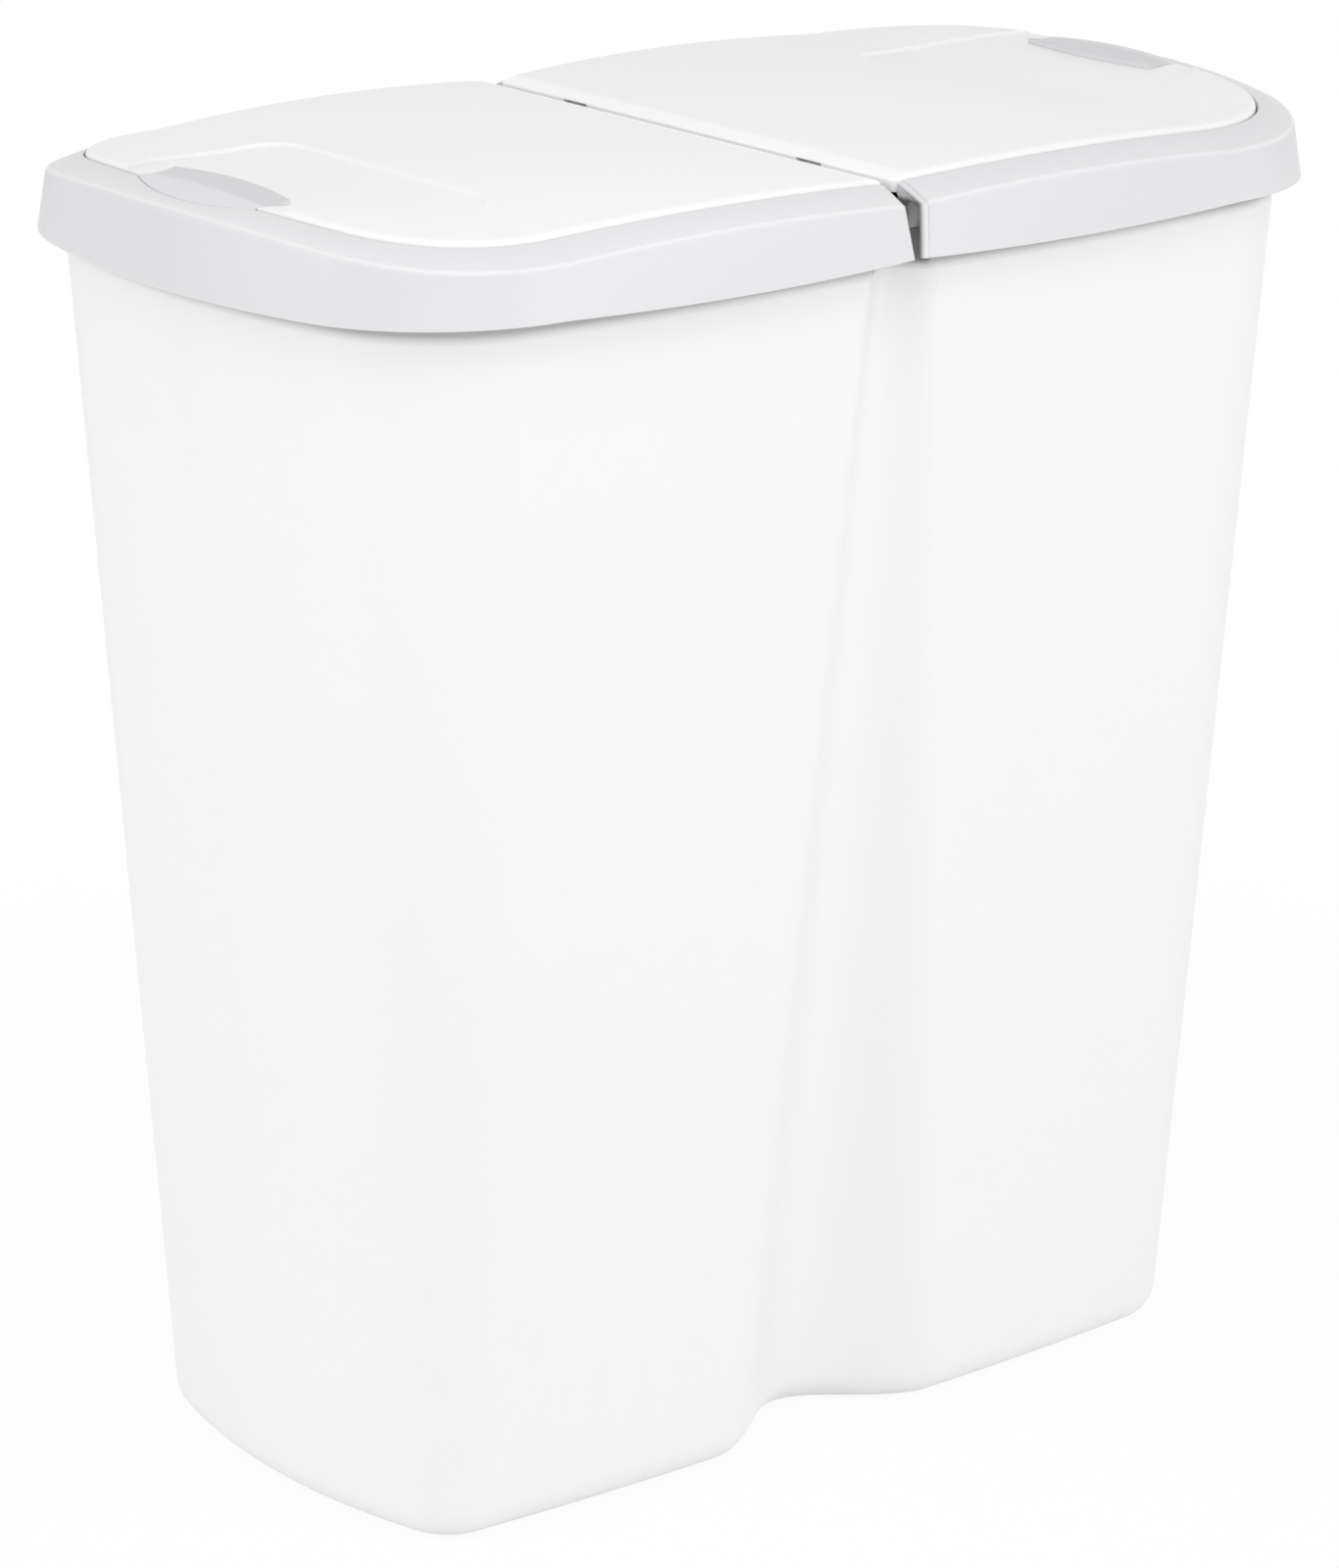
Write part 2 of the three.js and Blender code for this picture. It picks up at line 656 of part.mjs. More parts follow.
// Outline of one lid: a half outline with its two seam corners rounded
function lidOutline(inset) {
  const s = insetShape(RIM, LID_INSET + inset);
  const seam = SEAM_GAP / 2 + inset;
  const r = Math.max(SEAM_CORNER_R - inset, CLEARANCE);
  const q = quarter(s, seam + r, 2 * BRIDGE_HALF, MIDDLE_STEPS);
  const y = q.at(-1)[1] - r;
  for (let i = 1; i <= ROUND_STEPS; i += 1) {
    const t = ((Math.PI / 2) * i) / ROUND_STEPS;
    q.push([seam + r * (1 - Math.sin(t)), y + r * Math.cos(t)]);
  }
  return halfRing(q);
}

const LID_CENTRE_X = RIM_LENGTH / 4;

// Skin of the lid at a depth below its outer face
function lidSkin(depth, footZ) {
  const round = LID_ROUND - depth;
  const steps = round > 0 ? ROUND_STEPS : 0;
  const lowered = (outline, drop) => outline.map(([x, y]) => [x, y, lidZ(x, y) - depth - drop]);
  const footed = (outline) => outline.map(([x, y]) => [x, y, footZ(x, y)]);
  const shrunk = (outline, k) => outline.map(([x, y]) => [mix(LID_CENTRE_X, x, k), y * k]);
  const scales = [0.7, 0.4, 0.08];
  const foot = lidOutline(depth + LID_WALL + 1);
  const rings = scales.map((k) => footed(shrunk(foot, k))).reverse();
  rings.push(footed(foot), footed(lidOutline(depth)));
  for (let i = 0; i <= steps; i += 1) {
    const t = steps ? ((Math.PI / 2) * i) / steps : Math.PI / 2;
    const in1 = Math.max(round, 0) * (1 - Math.cos(t));
    rings.push(lowered(lidOutline(depth + in1), Math.max(round, 0) * (1 - Math.sin(t))));
  }
  const last = lidOutline(depth + Math.max(round, 0));
  for (const k of scales) rings.push(lowered(shrunk(last, k), 0));
  return loft(rings);
}

const PAD_X = RIM.a - LID_INSET - PAD_LENGTH;

// The latch stands with its ears just inside the rim's ledge
const CUT_HALF = LATCH_HALF + CLEARANCE;
const LEDGE_END_X = endX(insetShape(RIM, LIP_INSET), CUT_HALF + EAR_THICK);
const LATCH_AXIS_X = LEDGE_END_X - LATCH_EAR_GAP - LATCH_EAR_R;
const LATCH_INNER_X = LATCH_AXIS_X - LATCH_AXIS_IN;
const CUT_X = LATCH_INNER_X - CLEARANCE;
const FAR_X = RIM.a + BRIDGE_HALF;
const HIGH_Z = EDGE_Z + 2 * SKIRT_RISE;

// Block over the outer end of the lid, down to a depth below its top skin
function padBlock(x0, half, r, depth) {
  const prism = roundedPrism(x0, FAR_X + r, -half, half, r, LEDGE_Z - SKIRT_RISE, HIGH_Z);
  const plan = (u, v) => [mix(x0 - 1, FAR_X, u), mix(-half - 1, half + 1, v)];
  const field = slab(6, 6, plan, () => HIGH_Z - 1, (x, y) => lidZ(x, y) - depth);
  return prism.intersect(field);
}

const latchAxisZ = lidZ(LATCH_AXIS_X, 0) - LATCH_AXIS_DROP;

function makeLid() {
  const footZ = (x, y) => LEDGE_Z + CLEARANCE + arch(LID, x, y, EDGE_END_ARCH, EDGE_SIDE_ARCH);
  const below = (x, y) => footZ(x, y) - SKIRT_RISE;
  let hollow = lidSkin(LID_WALL, below);
  hollow = hollow.subtract(
    padBlock(PAD_X - LID_WALL, PAD_HALF + LID_WALL, PAD_CORNER_R + LID_WALL, PAD_DEPTH + LID_WALL),
  );
  let solid = lidSkin(0, footZ).subtract(hollow);
  solid = solid.subtract(padBlock(PAD_X, PAD_HALF, PAD_CORNER_R, PAD_DEPTH));

  // Shelf that carries the inner edge of the latch, clear of its cheeks
  const shelfEnd = LATCH_AXIS_X - LATCH_EAR_R - CLEARANCE;
  const shelfTop = (x, y) => latchBottom(x, y) - 2 * CLEARANCE;
  const shelfPlan = (u, v) => [
    mix(CUT_X - LID_WALL, shelfEnd, u),
    mix(-CUT_HALF - LID_WALL, CUT_HALF + LID_WALL, v),
  ];
  const skinTop = (x, y) => lidZ(x, y) - PAD_DEPTH - LID_WALL / 2;
  const shelf = slab(2, 6, shelfPlan, skinTop, (x, y) => shelfTop(x, y) - LID_WALL);
  solid = solid.add(shelf);

  // Opening for the latch, down to the shelf at its inner edge
  const cutPlan = (u, v) => [mix(CUT_X, FAR_X, u), mix(-CUT_HALF, CUT_HALF, v)];
  const lowPlan = (u, v) => [mix(shelfEnd, FAR_X, u), mix(-CUT_HALF, CUT_HALF, v)];
  solid = solid.subtract(slab(4, 6, cutPlan, () => HIGH_Z, shelfTop));
  solid = solid.subtract(slab(1, 1, lowPlan, () => HIGH_Z, () => LEDGE_Z - SKIRT_RISE));

  // Ears that carry the latch's stub pins
  for (const side of [-1, 1]) {
    const inner = side * CUT_HALF;
    const outer = side * (CUT_HALF + EAR_THICK);
    const y0 = Math.min(inner, outer);
    const y1 = Math.max(inner, outer);
    const x = LATCH_AXIS_X;
    const ear = bar(LATCH_EAR_R, y0, y1, x, latchAxisZ)
      .add(box(x - LATCH_EAR_R, x + LATCH_EAR_R, y0, y1, latchAxisZ, lidZ(x, inner) - PAD_DEPTH - 1))
      .subtract(bar(LATCH_PIN_R + CLEARANCE, y0 - 1, y1 + 1, x, latchAxisZ));
    solid = solid.add(ear);
  }

  // Notches in the seam wall for the sockets, and the hinge ears and pins
  for (const y of [-HINGE_Y, HINGE_Y]) {
    const notchHalf = SOCKET_LENGTH / 2 + CLEARANCE;
    const roof = lidZ(HINGE_X, y) - LID_WALL;
    const seam = SEAM_GAP / 2;
    solid = solid.subtract(
      box(seam - 1, seam + LID_WALL + 1, y - notchHalf, y + notchHalf, LEDGE_Z - 1, roof),
    );
    for (const side of [-1, 1]) {
      const inner = y + side * notchHalf;
      const outer = y + side * (notchHalf + EAR_THICK);
      const y0 = Math.min(inner, outer);
      const y1 = Math.max(inner, outer);
      const ear = bar(EAR_R, y0, y1, HINGE_X, HINGE_Z)
        .add(box(HINGE_X - EAR_R, HINGE_X + EAR_R, y0, y1, HINGE_Z, roof + LID_WALL / 2));
      solid = solid.add(ear);
    }
    solid = solid.add(bar(PIN_R, y - notchHalf - 1, y + notchHalf + 1, HINGE_X, HINGE_Z));
  }
  return toGeometry(solid);
}

// ---- Latches ----

// Outer edge of the latch in plan, bowed out over the rim
function latchEdgeX(y) {
  const t = (y / LATCH_HALF) ** 2;
  return endX(LID, y) + mix(LATCH_OVERHANG_MID, LATCH_OVERHANG_END, t);
}

// Height of the rim's slope under the latch
function slopeZ(x, y) {
  const inset = endX(RIM, y) - x;
  const t = (inset - RIDGE_INSET) / SLOPE_WIDTH;
  const s = insetShape(RIM, inset);
  const low = RIDGE_Z + arch(s, x, y, RIDGE_END_ARCH, RIDGE_SIDE_ARCH);
  const high = EDGE_Z + arch(s, x, y, EDGE_END_ARCH, EDGE_SIDE_ARCH);
  return mix(low, high, t);
}

function ridgeX(y) {
  return endX(LID, y) - LATCH_RIDGE_IN;
}

// Top of the latch: a dish that rises outward to a ridge, then falls to the lip
function latchTop(x, y) {
  const t = 1 - (y / LATCH_HALF) ** 2;
  const crest = lidZ(ridgeX(y), y) + mix(LATCH_CROWN_END, LATCH_CROWN_MID, t);
  if (x <= ridgeX(y)) {
    const dish = lidZ(LATCH_INNER_X, y) - PAD_DEPTH - LATCH_DISH_DROP;
    const u = (x - LATCH_INNER_X) / (ridgeX(y) - LATCH_INNER_X);
    return mix(dish, crest, Math.max(0, u) ** LATCH_DISH_BEND);
  }
  const edge = latchEdgeX(y);
  const lip = slopeZ(edge, y) + LATCH_LIP_GAP + LATCH_LIP_THICK;
  return mix(crest, lip, ((x - ridgeX(y)) / (edge - ridgeX(y))) ** LATCH_LIP_BEND);
}

function latchBottom(x, y) {
  const over = slopeZ(Math.max(x, endX(LID, y)), y) + LATCH_LIP_GAP;
  const plain = latchTop(x, y) - LATCH_THICK;
  return x < ridgeX(y) - 1 ? plain : Math.max(plain, over);
}

function makeLatch() {
  const plan = (u, v) => {
    const y = mix(-LATCH_HALF, LATCH_HALF, v);
    const inner = mix(LATCH_INNER_X, ridgeX(y), Math.min(1, u * 2));
    return [u <= 0.5 ? inner : mix(ridgeX(y), latchEdgeX(y), u * 2 - 1), y];
  };
  let solid = slab(8, 10, plan, latchTop, latchBottom);

  // Cheeks and stub pins
  for (const side of [-1, 1]) {
    const inner = side * (LATCH_HALF - EAR_THICK);
    const outer = side * LATCH_HALF;
    const tip = side * (CUT_HALF + EAR_THICK - CLEARANCE);
    const x = LATCH_AXIS_X;
    const roof = latchTop(x, outer) - LATCH_THICK / 2;
    const y0 = Math.min(inner, outer);
    const y1 = Math.max(inner, outer);
    solid = solid.add(bar(LATCH_EAR_R, y0, y1, x, latchAxisZ));
    solid = solid.add(box(x, x + LATCH_EAR_R, y0, y1, latchAxisZ, roof));
    solid = solid.add(bar(LATCH_PIN_R, Math.min(inner, tip), Math.max(inner, tip), x, latchAxisZ));
  }

  // Snap leg that runs down inside the rim's lip
  const legOut = endX(insetShape(RIM, LIP_INSET), LATCH_LEG_HALF) - 2 * CLEARANCE;
  const legTop = latchTop(legOut - LATCH_LEG_THICK, LATCH_LEG_HALF) - LATCH_THICK / 2;
  const leg = roundedPrism(
    legOut - LATCH_LEG_THICK, legOut, -LATCH_LEG_HALF, LATCH_LEG_HALF,
    LATCH_LEG_THICK / 3, legTop - LATCH_LEG_LENGTH, legTop,
  );
  return toGeometry(solid.add(leg));
}

// ---- Assembly ----

const bin = new THREE.Group();

function place(name, geometry, material) {
  const mesh = new THREE.Mesh(geometry, material.clone());
  mesh.name = name;
  bin.add(mesh);
}

const lid = makeLid();
const latch = makeLatch();
place('body_shell', makeBodyShell(), white);
place('rim_frame', makeRimFrame(), grey);
place('lid_right', lid, white);
place('lid_left', mirrored(lid), white);
place('latch_right', latch, grey);
place('latch_left', mirrored(latch), grey);

export default bin;
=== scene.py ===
# A double recycling bin of moulded polypropylene: a white two-lobed body, a light
# grey rim frame over its top edge, two white lids and a grey press latch at the
# outer end of each lid.
import math

import bpy
from mathutils import Matrix, Vector


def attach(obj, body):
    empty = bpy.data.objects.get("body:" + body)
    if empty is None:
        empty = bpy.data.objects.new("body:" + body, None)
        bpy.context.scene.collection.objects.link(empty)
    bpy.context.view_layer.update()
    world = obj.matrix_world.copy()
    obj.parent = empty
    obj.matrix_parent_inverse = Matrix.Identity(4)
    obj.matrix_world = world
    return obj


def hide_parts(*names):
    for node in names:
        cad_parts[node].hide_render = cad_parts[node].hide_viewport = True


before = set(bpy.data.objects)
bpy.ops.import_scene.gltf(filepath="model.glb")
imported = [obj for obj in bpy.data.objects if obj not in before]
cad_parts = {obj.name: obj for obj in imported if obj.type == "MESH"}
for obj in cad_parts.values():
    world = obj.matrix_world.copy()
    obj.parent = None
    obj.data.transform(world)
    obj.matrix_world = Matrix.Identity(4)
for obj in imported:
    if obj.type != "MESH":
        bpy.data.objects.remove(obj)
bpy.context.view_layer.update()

mm = 0.001

# ---- Camera ----
# A long lens looks at the bin from its front left and a little above, level but
# for a slight roll. The place and the angles come from fitting the bin's outline.
VIEW_AZIMUTH = math.radians(-39.112)
VIEW_ELEVATION = math.radians(17.718)
VIEW_ROLL = math.radians(0.3655)
CAMERA_PLACE = (-1.44373, -1.76941, 0.97940)
FOCAL_LENGTH = 136.45
SENSOR_WIDTH = 36
view_back = Vector((
    math.sin(VIEW_AZIMUTH) * math.cos(VIEW_ELEVATION),
    -math.cos(VIEW_AZIMUTH) * math.cos(VIEW_ELEVATION),
    math.sin(VIEW_ELEVATION),
))
view_right = (-view_back).cross(Vector((0, 0, 1))).normalized()
view_up = view_right.cross(-view_back)
rolled_right = view_right * math.cos(VIEW_ROLL) + view_up * math.sin(VIEW_ROLL)
rolled_up = view_up * math.cos(VIEW_ROLL) - view_right * math.sin(VIEW_ROLL)
camera_data = bpy.data.cameras.new("camera")
camera_data.lens = FOCAL_LENGTH
camera_data.sensor_width = SENSOR_WIDTH
camera_data.clip_end = 50
camera = bpy.data.objects.new("camera", camera_data)
bpy.context.scene.collection.objects.link(camera)
camera.matrix_world = Matrix((
    (rolled_right.x, rolled_up.x, view_back.x, CAMERA_PLACE[0]),
    (rolled_right.y, rolled_up.y, view_back.y, CAMERA_PLACE[1]),
    (rolled_right.z, rolled_up.z, view_back.z, CAMERA_PLACE[2]),
    (0, 0, 0, 1),
))
bpy.context.scene.camera = camera
bpy.context.scene.view_settings.view_transform = "Standard"


# ---- Floor and studio light ----
# The bin stands on a wide white floor in an even, soft white room. Broad low lamps at
# the front and the left end round its walls, and a small near one picks out a lid.
class Link:
    """An output socket of a node. An expression on links adds its Math nodes."""

    def __init__(self, tree, socket=None):
        self.tree = tree
        self.socket = socket

    def node(self, kind, settings=None, sockets=None, output=0):
        """Adds a node: its settings first, then what goes in to its sockets."""
        node = self.tree.nodes.new(kind)
        for name, setting in (settings or {}).items():
            if name == "stops":
                for element, (place, colour) in zip(node.color_ramp.elements, setting):
                    element.position = place
                    element.color = colour
            else:
                setattr(node, name, setting)
        for name, term in (sockets or {}).items():
            if isinstance(term, Link):
                self.tree.links.new(term.socket, node.inputs[name])
            else:
                node.inputs[name].default_value = term
        return Link(self.tree, node.outputs[output] if len(node.outputs) else None)

    def maths(self, operation, first, second):
        return self.node("ShaderNodeMath", {"operation": operation}, {0: first, 1: second})

    def __add__(self, other):
        return self.maths("ADD", self, other)

    def __radd__(self, other):
        return self.maths("ADD", other, self)

    def __sub__(self, other):
        return self.maths("SUBTRACT", self, other)

    def __rsub__(self, other):
        return self.maths("SUBTRACT", other, self)

    def __mul__(self, other):
        return self.maths("MULTIPLY", self, other)

    def __rmul__(self, other):
        return self.maths("MULTIPLY", other, self)


def new_finish(name):
    """An empty material and the start of its nodes."""
    material = bpy.data.materials.new(name)
    material.use_nodes = True
    material.node_tree.nodes.clear()
    return material, Link(material.node_tree)


FLOOR_SIZE = 16.0
bpy.ops.object.select_all(action="DESELECT")
bpy.ops.mesh.primitive_grid_add(x_subdivisions=32, y_subdivisions=32, size=FLOOR_SIZE)
floor = bpy.context.object
floor.name = "floor"

# Near the bin the camera sees the floor with the bin's soft shadow. Further out it
# sees plain white, so that the floor and the room meet without a line.
FLOOR_GREY = 0.9
SHADOW_SHARE = 0.07
SHADOW_CORE = 0.3
SHADOW_REACH = 1.1
white_floor, nodes = new_finish("white_floor")
place = nodes.node("ShaderNodeTexCoord", output="Object")
distance = nodes.node("ShaderNodeVectorMath", {"operation": "LENGTH"}, {0: place}, "Value")
fade = nodes.node(
    "ShaderNodeMapRange",
    {"interpolation_type": "SMOOTHSTEP"},
    {
        "Value": distance,
        "From Min": SHADOW_CORE,
        "From Max": SHADOW_REACH,
        "To Min": 1 - SHADOW_SHARE,
        "To Max": 1.0,
    },
)
lit = nodes.node("ShaderNodeBsdfDiffuse", None, {"Color": (FLOOR_GREY, FLOOR_GREY, FLOOR_GREY, 1)})
glow = nodes.node("ShaderNodeEmission", None, {"Color": (1, 1, 1, 1), "Strength": 1.0})
camera_ray = nodes.node("ShaderNodeLightPath", output="Is Camera Ray")
glossy_ray = nodes.node("ShaderNodeLightPath", output="Is Glossy Ray")
seen = camera_ray.maths("MAXIMUM", camera_ray, glossy_ray)
blend = nodes.node("ShaderNodeMixShader", None, {0: seen * fade, 1: lit, 2: glow})
nodes.node("ShaderNodeOutputMaterial", None, {"Surface": blend})
floor.data.materials.append(white_floor)

ROOM_LEVEL = 0.74
world = bpy.data.worlds.new("white_room")
bpy.context.scene.world = world
world.use_nodes = True
world.node_tree.nodes.clear()
nodes = Link(world.node_tree)
room = nodes.node("ShaderNodeBackground", None, {"Color": (1, 1, 1, 1), "Strength": ROOM_LEVEL})
white = nodes.node("ShaderNodeBackground", None, {"Color": (1, 1, 1, 1), "Strength": 1.0})
camera_ray = nodes.node("ShaderNodeLightPath", output="Is Camera Ray")
glossy_ray = nodes.node("ShaderNodeLightPath", output="Is Glossy Ray")
seen = camera_ray.maths("MAXIMUM", camera_ray, glossy_ray)
either = nodes.node("ShaderNodeMixShader", None, {0: seen, 1: room, 2: white})
nodes.node("ShaderNodeOutputWorld", None, {"Surface": either})

# Each lamp has its direction in degrees, distance, the place it aims at, size and power.
for lamp_name, azimuth, elevation, distance, aim, size, energy in (
    ("front_lamp", 28, 14, 3.2, (0, 0, 0.4), 1.8, 18),
    ("fill_lamp", -39, 12, 3.2, (0, 0, 0.4), 2.4, 9.5),
    ("end_lamp", -108, 12, 3.2, (0, 0, 0.4), 1.8, 18),
    ("near_lamp", -30, 56, 0.55, (-0.08, -0.1, 0.5), 0.35, 0.6),
):
    turn, lift = math.radians(azimuth), math.radians(elevation)
    away = Vector((
        math.sin(turn) * math.cos(lift),
        -math.cos(turn) * math.cos(lift),
        math.sin(lift),
    ))
    lamp_data = bpy.data.lights.new(lamp_name, "AREA")
    lamp_data.shape = "SQUARE"
    lamp_data.size = size
    lamp_data.energy = energy
    lamp = bpy.data.objects.new(lamp_name, lamp_data)
    bpy.context.scene.collection.objects.link(lamp)
    lamp.location = Vector(aim) + away * distance
    lamp.rotation_mode = "QUATERNION"
    lamp.rotation_quaternion = away.to_track_quat("Z", "Y")


# ---- Body ----
# One injection moulding of white polypropylene, tapered for its draft. It has two
# lobes, with a waist in the middle of each long side that narrows upward, and an
# upright wall that divides the inside into two compartments.
SKIRT_Z = 491 * mm

# An outline's half length and half depth, the lobe's middle, and three arc radii.
RIM_SHAPE = {
    "a": 250 * mm,
    "b": 143.6 * mm,
    "lobe": 82.3 * mm,
    "end": 368 * mm,
    "side": 1081 * mm,
    "corner": 72.9 * mm,
}
FOOT_SHAPE = {
    "a": 207.05 * mm,
    "b": 100.35 * mm,
    "lobe": 57.9 * mm,
    "end": 278 * mm,
    "side": 1588 * mm,
    "corner": 27.8 * mm,
}
FOOT_FILLET = 14.7 * mm
BODY_WALL = 2.4 * mm
BODY_FLOOR = 3 * mm
DIVIDER = 2.6 * mm
BODY_INSET = 10.7 * mm
BODY_TOP_Z = 509.7 * mm

# The waist's half width and depth, at the floor and at the skirt's height.
WAIST_FOOT = (58 * mm, 28.5 * mm)
WAIST_TOP = (18 * mm, 11 * mm)
WAIST_SOFTEN = 12 * mm
WAIST_GROW = 1.2 * mm
WAIST_STEPS = 30


def mix(low, high, t):
    """The value that lies the share t of the way from low to high."""
    return low + (high - low) * t


def smooth(t):
    """A soft step from 0 to 1 as t goes from 0 to 1."""
    t = min(1.0, max(0.0, t))
    return t * t * (3 - 2 * t)


def inset(shape, distance):
    """The outline that lies that far inside another one."""
    moved = {key: value - distance for key, value in shape.items()}
    moved["lobe"] = shape["lobe"]
    return moved


def side_y(shape, x, soften=0.0):
    """How far the long side's arc stands from the middle plane at x."""
    along = math.hypot(x, soften) - shape["lobe"]
    return shape["b"] - shape["side"] + math.sqrt(shape["side"] ** 2 - along ** 2)


def end_x(shape, y):
    """How far the end's arc stands from the middle at y."""
    return shape["a"] - shape["end"] + math.sqrt(shape["end"] ** 2 - y ** 2)


def quarter(shape, x_end, waist, waist_steps, soften=0.0, steps=(16, 30, 26)):
    """Points from the middle of the end, round the corner, to the side at x_end."""
    centre_x = shape["a"] - shape["end"]
    centre_y = shape["b"] - shape["side"]
    r1 = shape["end"] - shape["corner"]
    r2 = shape["side"] - shape["corner"]
    dx = shape["lobe"] - centre_x
    apart = math.hypot(dx, centre_y)
    along = (r1 ** 2 - r2 ** 2 + apart ** 2) / (2 * apart)
    aside = math.sqrt(r1 ** 2 - along ** 2)
    cx = centre_x + (dx * along - centre_y * aside) / apart
    cy = (centre_y * along + dx * aside) / apart
    end_angle = math.atan2(cy, cx - centre_x)
    side_angle = math.atan2(cy - centre_y, cx - shape["lobe"])
    corner_x = cx + shape["corner"] * math.cos(side_angle)
    points = []
    for i in range(steps[0]):
        t = end_angle * i / steps[0]
        points.append((centre_x + shape["end"] * math.cos(t), shape["end"] * math.sin(t)))
    for i in range(steps[1]):
        t = mix(end_angle, side_angle, i / steps[1])
        points.append((cx + shape["corner"] * math.cos(t), cy + shape["corner"] * math.sin(t)))
    for i in range(steps[2]):
        x = mix(corner_x, waist, i / steps[2])
        points.append((x, side_y(shape, x)))
    for i in range(waist_steps + 1):
        x = mix(waist, x_end, i / waist_steps)
        points.append((x, side_y(shape, x, soften)))
    return points


def whole_ring(points):
    """A quarter outline mirrored all the way round, counter-clockwise."""
    back = points[:0:-1]
    right_back = points[:-1]
    left_back = [(-x, y) for x, y in back]
    left_front = [(-x, -y) for x, y in right_back]
    right_front = [(x, -y) for x, y in back]
    return right_back + left_back + left_front + right_front


def half_ring(points):
    """The right half of an outline, closed by a straight line near the middle."""
    return points + [(x, -y) for x, y in points[:0:-1]]


def rolled(name, rings, closed=False):
    """A grid whose rows become the rings, closed round, and capped or closed on itself."""
    around = len(rings[0])
    rows = rings + [rings[0]] if closed else rings
    bpy.ops.object.select_all(action="DESELECT")
    bpy.ops.mesh.primitive_grid_add(x_subdivisions=around, y_subdivisions=len(rows) - 1, size=2)
    piece = bpy.context.object
    piece.name = name
    for vertex in piece.data.vertices:
        i = round((vertex.co.x + 1) / 2 * around) % around
        j = round((vertex.co.y + 1) / 2 * (len(rows) - 1))
        vertex.co = rows[j][i]
    bpy.ops.object.mode_set(mode="EDIT")
    bpy.ops.mesh.select_all(action="SELECT")
    bpy.ops.mesh.remove_doubles(threshold=1e-6)
    if not closed:
        bpy.ops.mesh.fill_holes(sides=0)
    bpy.ops.mesh.normals_make_consistent(inside=False)
    bpy.ops.object.mode_set(mode="OBJECT")
    return piece


def block(low, high):
    """A cube stretched from one corner to the other."""
    centre = [(a + b) / 2 for a, b in zip(low, high)]
    size = [b - a for a, b in zip(low, high)]
    bpy.ops.object.select_all(action="DESELECT")
    bpy.ops.mesh.primitive_cube_add(size=1, location=centre, scale=size)
    bpy.ops.object.transform_apply()
    return bpy.context.object


def combine(piece, tool, operation):
    """Cuts, joins or crosses a piece with another solid, which is used up."""
    change = piece.modifiers.new("combine", "BOOLEAN")
    change.operation = operation
    change.solver = "EXACT"
    change.object = tool
    bpy.ops.object.select_all(action="DESELECT")
    bpy.context.view_layer.objects.active = piece
    piece.select_set(True)
    bpy.ops.object.modifier_apply(modifier=change.name)
    bpy.data.objects.remove(tool)
    return piece


def mirrored_copy(piece, name):
    """The same piece on the other side of the middle."""
    bpy.ops.object.select_all(action="DESELECT")
    twin = piece.copy()
    twin.data = piece.data.copy()
    twin.name = name
    bpy.context.scene.collection.objects.link(twin)
    for vertex in twin.data.vertices:
        vertex.co.x = -vertex.co.x
    bpy.context.view_layer.objects.active = twin
    twin.select_set(True)
    bpy.ops.object.mode_set(mode="EDIT")
    bpy.ops.mesh.select_all(action="SELECT")
    bpy.ops.mesh.flip_normals()
    bpy.ops.object.mode_set(mode="OBJECT")
    return twin


def smooth_faces(piece, angle):
    """Even shading across soft bends, with the sharp edges kept."""
    bpy.ops.object.select_all(action="DESELECT")
    bpy.context.view_layer.objects.active = piece
    piece.select_set(True)
    bpy.ops.object.shade_smooth_by_angle(angle=math.radians(angle))


def body_shape(z):
    """The body's outline at a height, before the waist draws it in."""
    top = inset(RIM_SHAPE, BODY_INSET)
    t = max(0.0, (z - FOOT_FILLET) / (SKIRT_Z - FOOT_FILLET))
    return {key: mix(FOOT_SHAPE[key], top[key], t) for key in top}


def waisted(ring, z, grow):
    """The ring with its long sides drawn in along the waist."""
    t = z / SKIRT_Z
    half = mix(WAIST_FOOT[0], WAIST_TOP[0], t) + grow
    depth = mix(WAIST_FOOT[1], WAIST_TOP[1], t)
    placed = []
    for x, y in ring:
        bump = (1 + math.cos(math.pi * x / half)) / 2 if abs(x) < half else 0
        placed.append((x, y - math.copysign(depth * bump, y), z))
    return placed


def body_ring(z, distance):
    """One row of the body's outside."""
    half = mix(WAIST_FOOT[0], WAIST_TOP[0], z / SKIRT_Z)
    points = quarter(inset(body_shape(z), distance), 0, half, WAIST_STEPS, WAIST_SOFTEN)
    return waisted(whole_ring(points), z, 0)


def cavity_ring(z, distance):
    """One row of the right compartment."""
    half = mix(WAIST_FOOT[0], WAIST_TOP[0], z / SKIRT_Z) + WAIST_GROW
    points = quarter(inset(body_shape(z), distance), DIVIDER / 2, half, WAIST_STEPS, WAIST_SOFTEN)
    return waisted(half_ring(points), z, WAIST_GROW)


def arc(steps):
    """Sine and cosine of even steps over a quarter turn."""
    angles = [math.pi / 2 * i / steps for i in range(steps + 1)]
    return [(math.sin(angle), math.cos(angle)) for angle in angles]


BODY_LEVELS = 30
TOP_CUT_Z = BODY_TOP_Z + 5 * mm
cavity_fillet = FOOT_FILLET - BODY_WALL
inside = []
for s, c in arc(8):
    z = BODY_FLOOR + cavity_fillet * (1 - c)
    inside.append(cavity_ring(z, BODY_WALL + cavity_fillet * (1 - s)))
for level in range(1, BODY_LEVELS + 1):
    z = mix(BODY_FLOOR + cavity_fillet, TOP_CUT_Z, level / BODY_LEVELS)
    inside.append(cavity_ring(z, BODY_WALL))

